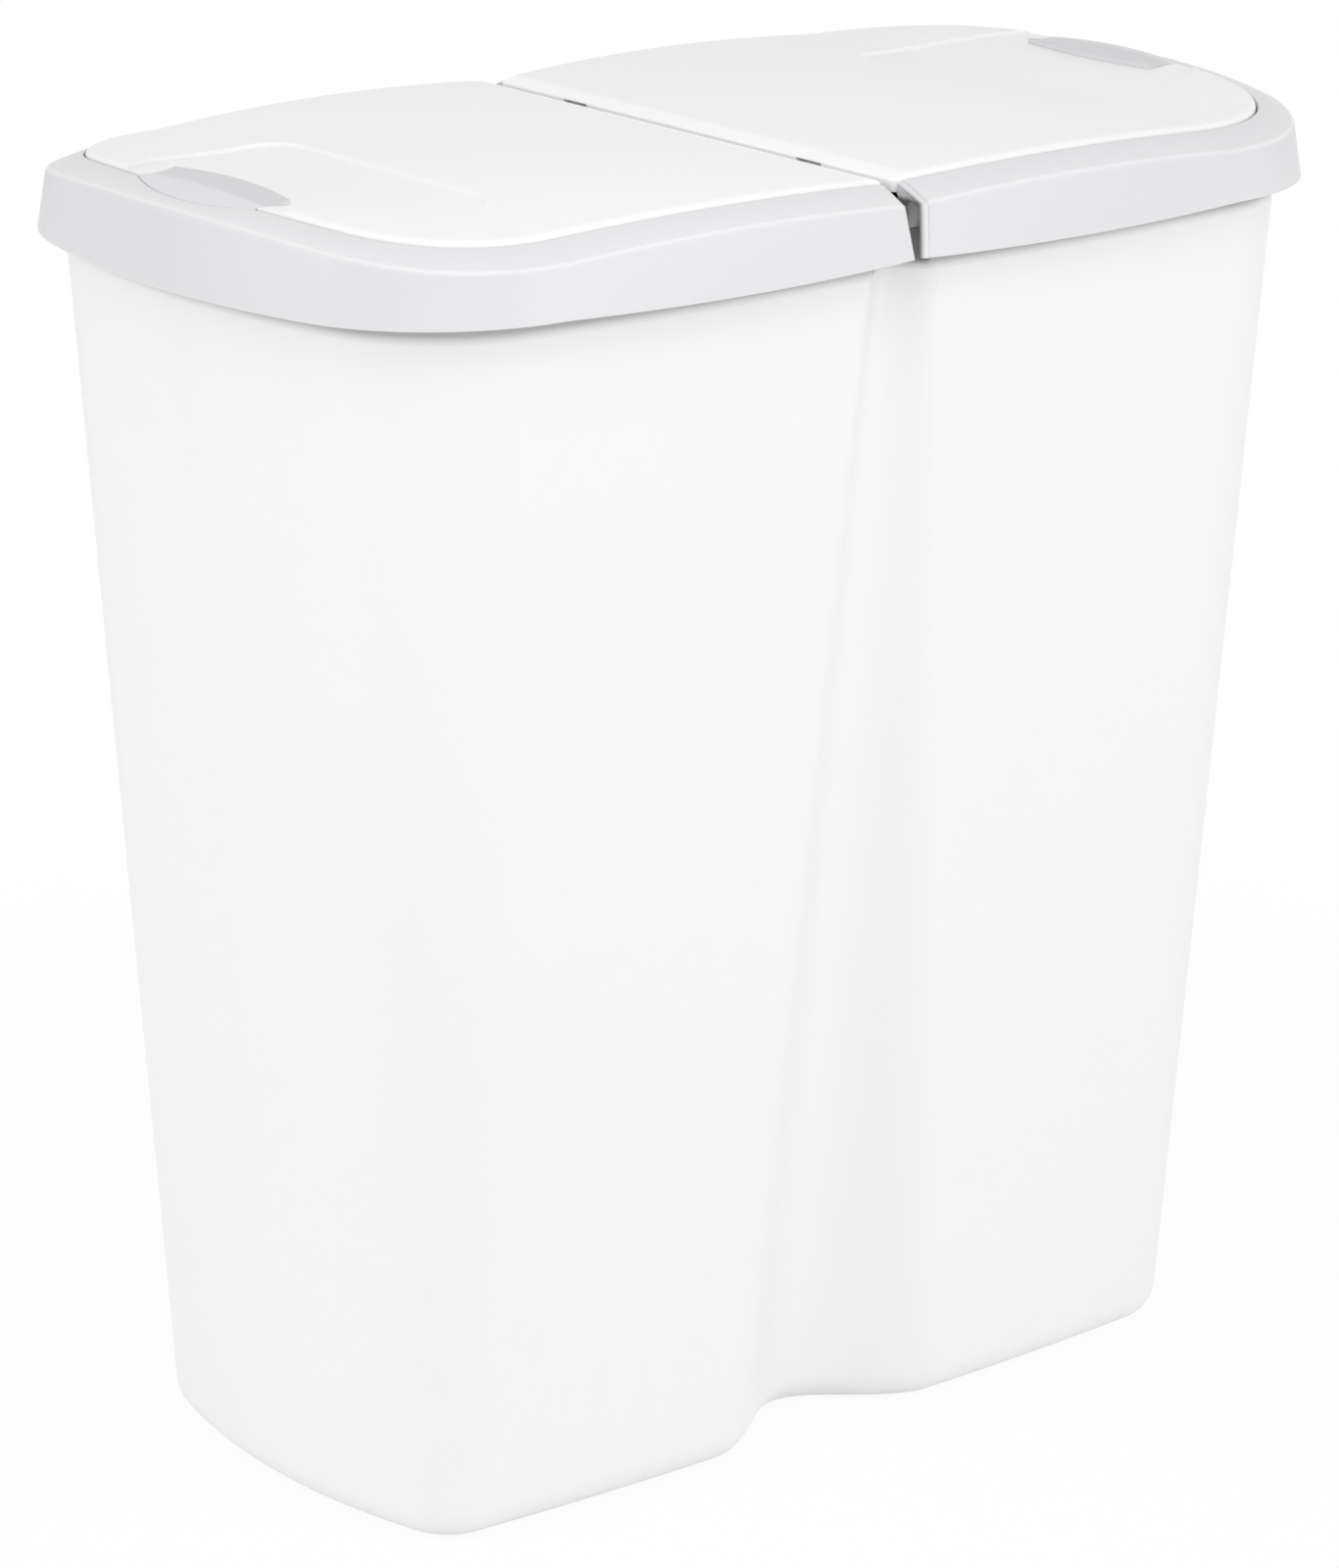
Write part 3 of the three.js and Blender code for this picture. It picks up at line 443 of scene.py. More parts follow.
# The outside has closer rows where painted shade darkens the wall just under the skirt.
heights = [mix(FOOT_FILLET, BODY_TOP_Z, level / BODY_LEVELS) for level in range(1, BODY_LEVELS + 1)]
heights += [z * mm for z in range(481, 492, 2)]
outside = [body_ring(FOOT_FILLET * (1 - c), FOOT_FILLET * (1 - s)) for s, c in arc(10)]
outside += [body_ring(z, 0) for z in sorted(heights)]
body = rolled("body", outside)
cavity = rolled("cavity", inside)
combine(body, mirrored_copy(cavity, "cavity_left"), "DIFFERENCE")
combine(body, cavity, "DIFFERENCE")

# The divider stops under the rim's bridge, and each waist has a notch for its saddle.
DIVIDER_TOP_Z = 502.7 * mm
DIVIDER_REACH = 118.3 * mm
NOTCH_HALF = 15 * mm
NOTCH_FOOT_Z = 499.1 * mm
NOTCH_IN_Y = 118 * mm
NOTCH_OUT_Y = 145 * mm
divider_cut = block((-DIVIDER, -DIVIDER_REACH, DIVIDER_TOP_Z), (DIVIDER, DIVIDER_REACH, TOP_CUT_Z))
combine(body, divider_cut, "DIFFERENCE")
for low_y, high_y in ((NOTCH_IN_Y, NOTCH_OUT_Y), (-NOTCH_OUT_Y, -NOTCH_IN_Y)):
    notch = block((-NOTCH_HALF, low_y, NOTCH_FOOT_Z), (NOTCH_HALF, high_y, TOP_CUT_Z))
    combine(body, notch, "DIFFERENCE")
smooth_faces(body, 40)


def moulded(name, colour, roughness, grain, marks=()):
    """Moulded polypropylene: a fine skin, faint flow marks and uneven gloss. Each mark is an
    attribute and the colour it brings, such as a painted highlight along an edge or painted shade
    under the skirt."""
    material, nodes = new_finish(name)
    place = nodes.node("ShaderNodeTexCoord", output="Object")
    cloud = nodes.node("ShaderNodeTexNoise", None, {"Vector": place, "Scale": 7.0, "Detail": 3.0})
    flow = nodes.node("ShaderNodeTexNoise", None, {"Vector": place, "Scale": 38.0, "Detail": 4.0})
    skin = nodes.node("ShaderNodeTexNoise", None, {"Vector": place, "Scale": 1500.0, "Detail": 2.0})
    peel = nodes.node("ShaderNodeTexNoise", None, {"Vector": place, "Scale": 210.0, "Detail": 2.0})
    dull = [channel * 0.985 for channel in colour]
    tint = nodes.node(
        "ShaderNodeMix",
        {"data_type": "RGBA"},
        {"Factor": cloud * 0.6 + flow * 0.4, "A": (*dull, 1), "B": (*colour, 1)},
        "Result",
    )
    for attribute, marked_colour in marks:
        mark = nodes.node("ShaderNodeAttribute", {"attribute_name": attribute}, None, "Fac")
        mark = mark * (0.85 + skin * 0.3)
        tint = nodes.node(
            "ShaderNodeMix",
            {"data_type": "RGBA"},
            {"Factor": mark, "A": tint, "B": (*marked_colour, 1)},
            "Result",
        )
    bump = nodes.node(
        "ShaderNodeBump",
        None,
        {"Strength": 0.12, "Distance": 0.0002, "Height": skin * grain + peel * 0.5},
    )
    surface = nodes.node(
        "ShaderNodeBsdfPrincipled",
        None,
        {
            "Base Color": tint,
            "Roughness": (roughness - 0.05) + flow * 0.05 + cloud * 0.05,
            "Normal": bump,
            "IOR": 1.49,
        },
    )
    nodes.node("ShaderNodeOutputMaterial", None, {"Surface": surface})
    return material


def mark_places(piece, name, strength):
    """Stores at each vertex how strongly a change of colour shows there."""
    values = piece.data.attributes.new(name, "FLOAT", "POINT")
    for vertex in piece.data.vertices:
        values.data[vertex.index].value = strength(*vertex.co)


def only_finish(piece, material):
    """The piece wears this one material all over."""
    piece.data.materials.clear()
    piece.data.materials.append(material)


# Painted shade: a dark grey laid over the top of the body's wall under the skirt, deepest behind the
# slits, and over the rim inside its slits.
PAINTED_SHADE_GREY = (0.16, 0.155, 0.16)
SHADE_FROM_Z = 483.5 * mm
SHADE_RUN = 4 * mm
BEHIND_SLIT_HALF = 17 * mm


def shade_under_skirt(x, y, z):
    """Painted shade on the top of the wall, inside the skirt and deepest behind its slits, in place
    of the shadow there.
    """
    shade_behind_slit = smooth((BEHIND_SLIT_HALF - abs(x)) / SHADE_RUN)
    return max(0.55, shade_behind_slit) * smooth((z - SHADE_FROM_Z) / SHADE_RUN)


# Painted shade: a darker grey at the top of the body's wall, under the skirt and behind the slits.
mark_places(body, "painted_shade", shade_under_skirt)
body_plastic = moulded("body_polypropylene", (0.93, 0.918, 0.922), 0.42, 0.3, [("painted_shade", PAINTED_SHADE_GREY)])
only_finish(body, body_plastic)
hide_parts("body_shell")
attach(body, "bin")


# ---- Rim frame ----
# One moulding of light grey polypropylene that snaps over the body's top edge. A
# skirt hangs outside the body, a slope leads in to the lids' recess, and a slit
# splits the skirt in the middle of each long side. A bridge carries the hinges.
RIDGE_Z = 510.8 * mm
RIDGE_INSET = 3.64 * mm
EDGE_Z = 517 * mm
EDGE_INSET = 18.04 * mm
LEDGE_Z = 512.2 * mm
LEDGE_IN = 25.54 * mm
RIM_WALL = 2.2 * mm
LIP_FOOT_Z = 499.7 * mm
RIB_IN = 15.3 * mm
RIB_OUT = 13.1 * mm
RIB_FOOT_Z = 501.2 * mm
RIB_ROOT_Z = 512.2 * mm
SKIRT_SOFT = 0.7 * mm
RIDGE_SOFT = 1.9 * mm
EDGE_SOFTNESS = 0.9 * mm
LEDGE_SOFT = 0.8 * mm
FIT = 0.3 * mm
END_FADE = 70 * mm
FINE_FROM_X = 25 * mm
CLEAR_Z = 537 * mm

# How far each line rises over the middle of an end, and over the middle of a lobe.
SKIRT_ARCH = (-1.4 * mm, -1.25 * mm)
RIDGE_ARCH = (8.9 * mm, 3.5 * mm)
EDGE_ARCH = (6.1 * mm, 2.9 * mm)
FLAT = (0, 0)


def arch(shape, x, y, rise):
    """Rise of a line of the rim over the middle of the ends and of the lobes."""
    end = smooth((abs(x) - (shape["a"] - END_FADE)) / END_FADE)
    side = max(0.0, 1 - ((abs(x) - shape["lobe"]) / shape["lobe"]) ** 2)
    return rise[0] * end * (1 - (y / shape["b"]) ** 2) + rise[1] * (1 - end) * side


def corner_run(before, corner, after, reach, steps):
    """Points of a soft corner between two straight runs of a section."""
    def toward(point):
        k = reach / math.hypot(point[0] - corner[0], point[1] - corner[1])
        return [mix(c, p, k) for c, p in zip(corner, point)]

    start, stop = toward(before), toward(after)
    run = []
    for i in range(steps + 1):
        t = i / steps
        run.append([
            (1 - t) ** 2 * a + 2 * t * (1 - t) * c + t ** 2 * b
            for a, c, b in zip(start, corner, stop)
        ])
    return run


def rim_ring(point):
    """One line of the rim's section carried round: inset, height and two rises."""
    shape = inset(RIM_SHAPE, point[0])
    ring = whole_ring(quarter(shape, 0, FINE_FROM_X, 10))
    return [(x, y, point[1] + arch(shape, x, y, point[2:])) for x, y in ring]


skirt_foot = [0, SKIRT_Z, *SKIRT_ARCH]
skirt_in = [RIM_WALL, SKIRT_Z, *SKIRT_ARCH]
ridge = [RIDGE_INSET, RIDGE_Z, *RIDGE_ARCH]
lid_edge = [EDGE_INSET, EDGE_Z, *EDGE_ARCH]
recess_foot = [EDGE_INSET + FIT, LEDGE_Z, *EDGE_ARCH]
ledge_in = [LEDGE_IN, LEDGE_Z, *EDGE_ARCH]
lip_foot = [LEDGE_IN, LIP_FOOT_Z, *FLAT]
lip_back = [LEDGE_IN - RIM_WALL, LIP_FOOT_Z, *FLAT]
under_ridge = [RIDGE_INSET + 0.85 * RIM_WALL, RIDGE_Z - RIM_WALL, *RIDGE_ARCH]
outer_section = (
    corner_run(skirt_in, skirt_foot, ridge, SKIRT_SOFT, 4)
    + corner_run(skirt_foot, ridge, lid_edge, RIDGE_SOFT, 10)
    + corner_run(ridge, lid_edge, recess_foot, EDGE_SOFTNESS, 5)
)
inner_section = (
    [recess_foot]
    + corner_run(recess_foot, ledge_in, lip_foot, LEDGE_SOFT, 4)
    + [lip_foot, lip_back]
    + [[LEDGE_IN - RIM_WALL, LEDGE_Z - RIM_WALL, *EDGE_ARCH]]
    + [[RIB_IN, LEDGE_Z - RIM_WALL, *EDGE_ARCH]]
    + [[RIB_IN, RIB_FOOT_Z, *FLAT], [RIB_OUT, RIB_FOOT_Z, *FLAT]]
    + [[RIB_OUT, RIB_ROOT_Z, *EDGE_ARCH], under_ridge, skirt_in]
)
rim = rolled("rim", [rim_ring(point) for point in outer_section + inner_section], closed=True)

SLIT_FOOT_Z = 471 * mm
SLIT_LOW = 1.2 * mm
SLIT_HIGH = 3.4 * mm
SLIT_MOUTH = 3 * mm
BRIDGE_HALF = 12.5 * mm
BRIDGE_TOP_Z = 505.2 * mm
BRIDGE_FOOT_Z = 499.4 * mm
BRIDGE_END = 116 * mm
SADDLE_HALF = 14.7 * mm
SADDLE_PROUD = 2.8 * mm
RIB_CUT_Y = (124.9 * mm, 130.8 * mm)
RIB_CUT_Z = (500.2 * mm, 510 * mm)
RIB_CUT_HALF = 25 * mm


def slit_cutter(side):
    """Opens the skirt, wider toward the top, with rounded mouth edges."""
    deep = side_y(inset(RIM_SHAPE, EDGE_INSET + FIT), 0)
    rows = []
    for z, distance, rise in (
        (SLIT_FOOT_Z, 0, 0),
        (SKIRT_Z, 0, 0),
        (RIDGE_Z, RIDGE_INSET, 1),
        (EDGE_Z, EDGE_INSET, 1),
        (CLEAR_Z, EDGE_INSET, 1),
    ):
        half = mix(SLIT_LOW, SLIT_HIGH, rise)
        face = side_y(inset(RIM_SHAPE, distance), 0)
        right = [
            (half + SLIT_MOUTH * (1 - c), max(deep, face - SLIT_MOUTH * (1 - s)))
            for s, c in arc(8)
        ]
        wide = half + SLIT_MOUTH
        outline = [(-half, deep - 0.01 * mm), (half, deep - 0.01 * mm), *right]
        outline += [(wide, face + 20 * mm), (-wide, face + 20 * mm)]
        outline += [(-x, y) for x, y in reversed(right)]
        rows.append([(side * x, side * y, z) for x, y in outline])
    return rolled("slit_cutter", rows)


def across(distance, half, low_z, high_z):
    """The band of the rim's plan over the bridge, between two heights."""
    ring = whole_ring(quarter(inset(RIM_SHAPE, distance), 0, FINE_FROM_X, 10))
    prism = rolled("prism", [[(x, y, z) for x, y in ring] for z in (low_z, high_z)])
    return combine(prism, block((-half, -0.15, low_z), (half, 0.15, high_z)), "INTERSECT")


# The rib stops beside each saddle. The saddles and the bridge join the long sides.
for side in (-1, 1):
    low, high = sorted((side * RIB_CUT_Y[0], side * RIB_CUT_Y[1]))
    rib_cut = block((-RIB_CUT_HALF, low, RIB_CUT_Z[0]), (RIB_CUT_HALF, high, RIB_CUT_Z[1]))
    combine(rim, rib_cut, "DIFFERENCE")
saddle = across(EDGE_INSET - SADDLE_PROUD, SADDLE_HALF, BRIDGE_FOOT_Z, LEDGE_Z)
combine(saddle, block((-0.02, -BRIDGE_END, 0.49), (0.02, BRIDGE_END, 0.52)), "DIFFERENCE")
combine(rim, saddle, "UNION")
bridge = block((-BRIDGE_HALF, -BRIDGE_END, BRIDGE_FOOT_Z), (BRIDGE_HALF, BRIDGE_END, BRIDGE_TOP_Z))
combine(rim, bridge, "UNION")
combine(rim, across(EDGE_INSET + FIT, BRIDGE_HALF, BRIDGE_TOP_Z, CLEAR_Z), "DIFFERENCE")
combine(rim, across(EDGE_INSET - FIT, BRIDGE_HALF, BRIDGE_TOP_Z, LEDGE_Z), "DIFFERENCE")
groove_half = BRIDGE_HALF - RIM_WALL
groove_end = BRIDGE_END + RIM_WALL
groove = block((-groove_half, -groove_end, 0.49), (groove_half, groove_end, BRIDGE_TOP_Z - RIM_WALL))
combine(rim, groove, "DIFFERENCE")
for side in (-1, 1):
    combine(rim, slit_cutter(side), "DIFFERENCE")

# A shallow pocket in the slope at each end lets the latch's lip lie level with it.
LATCH_HALF = 36.7 * mm
LID_SHAPE = inset(RIM_SHAPE, EDGE_INSET)
LATCH_LIP = (7 * mm, 0.6 * mm)
POCKET_DEPTH = 1.25 * mm
POCKET_GAP = 0.4 * mm
POCKET_INNER_X = 228 * mm
OVER_Z = 540 * mm
UNDER_Z = 490 * mm


def latch_edge_x(y):
    """The outer edge of the latch's lip, bowed outward."""
    t = (y / LATCH_HALF) ** 2
    return end_x(LID_SHAPE, y) + mix(*LATCH_LIP, t)


def slope_z(x, y):
    """Height of the rim's slope."""
    distance = end_x(RIM_SHAPE, y) - x
    shape = inset(RIM_SHAPE, distance)
    low = RIDGE_Z + arch(shape, x, y, RIDGE_ARCH)
    high = EDGE_Z + arch(shape, x, y, EDGE_ARCH)
    return mix(low, high, (distance - RIDGE_INSET) / (EDGE_INSET - RIDGE_INSET))


def sheet_block(name, xs, ys, low, high):
    """A solid between two curved sheets over the same rectangle of places."""
    bpy.ops.object.select_all(action="DESELECT")
    bpy.ops.mesh.primitive_grid_add(x_subdivisions=len(xs) - 1, y_subdivisions=len(ys) - 1, size=2)
    sheet = bpy.context.object
    sheet.name = name
    bpy.ops.object.mode_set(mode="EDIT")
    bpy.ops.mesh.select_all(action="SELECT")
    bpy.ops.mesh.extrude_region_move(TRANSFORM_OT_translate={"value": (0, 0, 1)})
    bpy.ops.object.mode_set(mode="OBJECT")
    for vertex in sheet.data.vertices:
        i = round((vertex.co.x + 1) / 2 * (len(xs) - 1))
        j = round((vertex.co.y + 1) / 2 * (len(ys) - 1))
        height = high if vertex.co.z > 0.5 else low
        vertex.co = (xs[i], ys[j], height(xs[i], ys[j]))
    bpy.ops.object.mode_set(mode="EDIT")
    bpy.ops.mesh.select_all(action="SELECT")
    bpy.ops.mesh.normals_make_consistent(inside=False)
    bpy.ops.object.mode_set(mode="OBJECT")
    return sheet


unit = [i / 40 for i in range(41)]
both_ways = [2 * v - 1 for v in unit]
pocket = sheet_block("pocket", unit, both_ways, lambda x, y: -1, lambda x, y: 1)
for vertex in pocket.data.vertices:
    y = vertex.co.y * (LATCH_HALF + POCKET_GAP)
    x = mix(POCKET_INNER_X, latch_edge_x(y) + POCKET_GAP, vertex.co.x)
    vertex.co = (x, y, OVER_Z if vertex.co.z > 0 else slope_z(x, y) - POCKET_DEPTH)
combine(rim, mirrored_copy(pocket, "pocket_left"), "DIFFERENCE")
combine(rim, pocket, "DIFFERENCE")

# Snap-in sockets for the lids' stub pins stand on the bridge.
HINGE_X = 8 * mm
HINGE_Z = 513 * mm
HINGE_Y = 72 * mm
SOCKET_R = 3.5 * mm
SOCKET_HALF = 7 * mm
SOCKET_MOUTH_HALF = 1.7 * mm
PIN_R = 2 * mm


def rod(radius, low_y, high_y, x, z):
    """A round bar along the bin's depth."""
    bpy.ops.object.select_all(action="DESELECT")
    bpy.ops.mesh.primitive_cylinder_add(
        vertices=32,
        radius=radius,
        depth=high_y - low_y,
        location=(x, (low_y + high_y) / 2, z),
        rotation=(math.radians(90), 0, 0),
    )
    bpy.ops.object.transform_apply()
    return bpy.context.object


for side in (-1, 1):
    for y in (-HINGE_Y, HINGE_Y):
        x = side * HINGE_X
        low, high = y - SOCKET_HALF, y + SOCKET_HALF
        socket = block((x - SOCKET_R, low, BRIDGE_TOP_Z - RIM_WALL), (x + SOCKET_R, high, HINGE_Z))
        combine(socket, rod(SOCKET_R, low, high, x, HINGE_Z), "UNION")
        combine(socket, rod(PIN_R + FIT, low - FIT, high + FIT, x, HINGE_Z), "DIFFERENCE")
        mouth = block(
            (x - SOCKET_MOUTH_HALF, low - FIT, HINGE_Z),
            (x + SOCKET_MOUTH_HALF, high + FIT, HINGE_Z + 2 * SOCKET_R),
        )
        combine(socket, mouth, "DIFFERENCE")
        combine(rim, socket, "UNION")
smooth_faces(rim, 38)


def painted_highlight(x, y, z):
    """Painted highlight along the ridge and along the skirt's lower edge, where light would catch
    the rounded edges.
    """
    from_ridge = z - RIDGE_Z - arch(inset(RIM_SHAPE, RIDGE_INSET), x, y, RIDGE_ARCH)
    from_foot = z - SKIRT_Z - arch(RIM_SHAPE, x, y, SKIRT_ARCH) - 0.2 * mm
    at_ridge = math.exp(-(from_ridge / (0.7 * mm)) ** 2)
    at_foot = math.exp(-(from_foot / (0.5 * mm)) ** 2)
    return at_ridge + 0.8 * at_foot


def shade_in_slit(x, y, z):
    """Painted shade on the flanks of the slit, from just inside the skirt's face."""
    in_from_edge = mix(0, RIDGE_INSET, (z - SKIRT_Z) / (RIDGE_Z - SKIRT_Z))
    depth = side_y(inset(RIM_SHAPE, max(0, in_from_edge)), x) - abs(y)
    if z > RIDGE_Z + 1 * mm or depth > 22 * mm:
        return 0.0
    return smooth((depth - 0.4 * mm) / (2 * mm)) * smooth((8 * mm - abs(x)) / (1.5 * mm))


# Painted highlight along the ridge and the skirt's lower edge, and painted shade inside the slits.
mark_places(rim, "painted_highlight", painted_highlight)
mark_places(rim, "painted_shade", shade_in_slit)
rim_marks = [("painted_highlight", (0.82, 0.81, 0.825)), ("painted_shade", PAINTED_SHADE_GREY)]
rim_plastic = moulded("rim_polypropylene", (0.735, 0.722, 0.74), 0.4, 0.35, rim_marks)
only_finish(rim, rim_plastic)
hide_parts("rim_frame")
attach(rim, "bin")


# ---- Lids ----
# Each lid is a thin white moulding with a rounded edge and a short wall below. A
# shallow sunken pad runs in from its outer end round the latch. Stub pins under
# the seam turn in the bridge's sockets.
LID_INSET = 18.95 * mm
LID_WALL = 2.2 * mm
LID_PROUD = 1.9 * mm
LID_ROUND = 2.7 * mm
SEAM_HALF = 2.7 * mm
SEAM_CORNER = 3 * mm

# A shallow bevel slopes down to the seam, whose edge is rounded less than the others.
SEAM_FALL_X = 11.7 * mm
SEAM_FALL = 0.14
SEAM_ROUND = 0.4
SEAM_ROUND_X = 6 * mm
SEAM_ROUND_RUN = 8 * mm

LID_CENTRE_X = 125 * mm
PAD_X = 142.6 * mm
PAD_HALF = 71.5 * mm
PAD_TAPER_X = 160 * mm
PAD_TAPER = 4.7
PAD_DEPTH = 1.6 * mm
PAD_CORNER = 17 * mm
PAD_SLOPE = 1.9 * mm
PAD_CUT_ABOVE = 0.6 * mm
PAST_END_X = 262 * mm
LATCH_INNER_X = 214.3 * mm
LATCH_INNER_BOW = 3.6 * mm
LATCH_GAP = 0.3 * mm


def lid_z(x, y):
    """Height of the lid's top before the pad is sunk into it."""
    return EDGE_Z + LID_PROUD + arch(LID_SHAPE, x, y, EDGE_ARCH)


def latch_inner_x(y):
    """The latch's inner edge, bowed toward the middle of the lid."""
    return LATCH_INNER_X - LATCH_INNER_BOW * max(0.0, 1 - (y / LATCH_HALF) ** 2)


def lid_outline(distance):
    """The right lid's plan, or a line that far inside it."""
    shape = inset(RIM_SHAPE, LID_INSET + distance)
    seam = SEAM_HALF + distance
    corner = max(SEAM_CORNER - distance, 0.3 * mm)
    points = quarter(shape, seam + corner, FINE_FROM_X, 6)
    y = points[-1][1] - corner
    points += [(seam + corner * (1 - s), y + corner * c) for s, c in arc(8)[1:]]
    return half_ring(points)


def shrunk(outline, k):
    """The outline drawn in toward the lid's middle."""
    return [(mix(LID_CENTRE_X, x, k), y * k) for x, y in outline]


def lid_skin(name, depth, foot):
    """A closed solid under the lid's top skin, that far below its outer face."""
    radius = max(LID_ROUND - depth, 0.2 * mm)
    top = [0.001, 0.12, 0.25, 0.4, 0.55, 0.7, 0.82, 0.9, 0.93, 0.95, 0.97, 0.985]
    rim_line = lid_outline(depth + radius)
    fall = SEAM_FALL if depth == 0 else 0

    def at_top(outline, drop):
        row = []
        for x, y in outline:
            low = drop * mix(SEAM_ROUND, 1, smooth((x - SEAM_ROUND_X) / SEAM_ROUND_RUN))
            row.append((x, y, lid_z(x, y) - depth - low - fall * max(0.0, SEAM_FALL_X - x)))
        return row

    def at_foot(outline):
        return [(x, y, foot(x, y)) for x, y in outline]

    rows = [at_foot(shrunk(lid_outline(depth), k)) for k in top + [1]]
    for s, c in arc(8):
        rows.append(at_top(lid_outline(depth + radius * (1 - c)), radius * (1 - s)))
    rows += [at_top(shrunk(rim_line, k), 0) for k in reversed(top)]
    return rolled(name, rows)


def lid_foot(x, y):
    """The foot of the lid's short wall, just clear of the ledge."""
    return LEDGE_Z + FIT + arch(LID_SHAPE, x, y, EDGE_ARCH)


def pad_distance(x, y, grow=0.0):
    """Distance in from the pad's outline, below zero outside it."""
    corner = PAD_CORNER + grow
    half = PAD_HALF - PAD_TAPER * max(0.0, x - PAD_TAPER_X) ** 2
    dx = (PAD_X - grow + corner) - x
    dy = abs(y) - (half + grow - corner)
    if dx > 0 and dy > 0:
        return corner - math.hypot(dx, dy)
    return corner - max(dx, dy)


def stops(*runs):
    """Even steps between given places, closer where the surface bends."""
    places = []
    for start, end, step in runs:
        count = max(1, round((end - start) / step))
        places += [mix(start, end, i / count) for i in range(count)]
    return places + [runs[-1][1]]


def pad_cutter(name, grow, depth):
    """Sinks the pad into a skin, with a soft slope at its edge."""
    xs = stops(
        (130 * mm, 137 * mm, 3.5 * mm),
        (137 * mm, 162 * mm, 0.5 * mm),
        (162 * mm, PAST_END_X, 2.5 * mm),
    )
    fine = stops((40 * mm, 78 * mm, 0.5 * mm), (78 * mm, 86 * mm, 3 * mm))
    ys = [-y for y in reversed(fine)] + stops((-36 * mm, 36 * mm, 4 * mm)) + fine

    def floor(x, y):
        sunk = smooth(pad_distance(x, y, grow) / PAD_SLOPE + 0.35)
        return lid_z(x, y) + PAD_CUT_ABOVE - (PAD_CUT_ABOVE + depth) * sunk

    return sheet_block(name, xs, ys, floor, lambda x, y: 560 * mm)


lid = lid_skin("lid_right_cover", 0, lid_foot)
hollow = lid_skin("hollow", LID_WALL, lambda x, y: lid_foot(x, y) - 20 * mm)
under_pad = pad_cutter("under_pad", LID_WALL, PAD_DEPTH + LID_WALL)
combine(hollow, under_pad, "DIFFERENCE")
combine(lid, hollow, "DIFFERENCE")
combine(lid, pad_cutter("pad", 0, PAD_DEPTH), "DIFFERENCE")

# The latch has its own opening, cut through the lid's outer end.
cut_half = LATCH_HALF + LATCH_GAP
latch_hole = sheet_block("latch_hole", unit, both_ways, lambda x, y: -1, lambda x, y: 1)
for vertex in latch_hole.data.vertices:
    y = vertex.co.y * cut_half
    x = mix(latch_inner_x(y) - LATCH_GAP, PAST_END_X, vertex.co.x)
    vertex.co = (x, y, OVER_Z if vertex.co.z > 0 else UNDER_Z)
combine(lid, latch_hole, "DIFFERENCE")

# A shelf lies under the latch's inner edge, and an ear at each side holds its pin.
SHELF_X = (206.9 * mm, 213.4 * mm)
SHELF_DROP = 2.4 * mm
EAR_WIDE = 2.4 * mm
LATCH_EAR_R = 3 * mm
LATCH_PIN_R = 1.5 * mm
LATCH_AXIS_X = 216.786 * mm
LATCH_AXIS_Z = lid_z(LATCH_AXIS_X, 0) - 6.2 * mm
shelf_z = lid_z(LATCH_INNER_X, 0) - PAD_DEPTH - SHELF_DROP
shelf = block(
    (SHELF_X[0], -cut_half - LID_WALL, shelf_z - LID_WALL),
    (SHELF_X[1], cut_half + LID_WALL, shelf_z),
)
combine(lid, shelf, "UNION")
for side in (-1, 1):
    low, high = sorted((side * cut_half, side * (cut_half + EAR_WIDE)))
    ear = rod(LATCH_EAR_R, low, high, LATCH_AXIS_X, LATCH_AXIS_Z)
    cheek = block(
        (LATCH_AXIS_X - LATCH_EAR_R, low, LATCH_AXIS_Z),
        (LATCH_AXIS_X + LATCH_EAR_R, high, lid_z(LATCH_AXIS_X, low) - PAD_DEPTH - 1 * mm),
    )
    combine(ear, cheek, "UNION")
    hole = rod(LATCH_PIN_R + FIT, low - FIT, high + FIT, LATCH_AXIS_X, LATCH_AXIS_Z)
    combine(ear, hole, "DIFFERENCE")
    combine(lid, ear, "UNION")

# The seam's wall has a notch over each socket, with the lid's own pin between ears.
SOCKET_CUT_HALF = SOCKET_HALF + FIT
SOCKET_CUT_X = (0.5 * mm, 5.4 * mm)
SOCKET_CUT_Z = (505 * mm, HINGE_Z + 3.9 * mm)
HINGE_EAR_R = 3.6 * mm
for y in (-HINGE_Y, HINGE_Y):
    socket_cut = block(
        (SOCKET_CUT_X[0], y - SOCKET_CUT_HALF, SOCKET_CUT_Z[0]),
        (SOCKET_CUT_X[1], y + SOCKET_CUT_HALF, SOCKET_CUT_Z[1]),
    )
    combine(lid, socket_cut, "DIFFERENCE")
    ear_top = lid_z(HINGE_X, y) - LID_WALL + 0.5 * mm
    hinge = rod(PIN_R, y - SOCKET_CUT_HALF - 1 * mm, y + SOCKET_CUT_HALF + 1 * mm, HINGE_X, HINGE_Z)
    for side in (-1, 1):
        low, high = sorted((y + side * SOCKET_CUT_HALF, y + side * (SOCKET_CUT_HALF + EAR_WIDE)))
        ear = rod(HINGE_EAR_R, low, high, HINGE_X, HINGE_Z)
        cheek = block((HINGE_X - HINGE_EAR_R, low, HINGE_Z), (HINGE_X + HINGE_EAR_R, high, ear_top))
        combine(ear, cheek, "UNION")
        combine(hinge, ear, "UNION")
    combine(lid, hinge, "UNION")
smooth_faces(lid, 42)


def seam_highlight(x, y, z):
    """Painted highlight on the seam's edge, where the two lids meet."""
    return smooth((SEAM_FALL_X - abs(x)) / (3 * mm))


mark_places(lid, "painted_highlight", seam_highlight)
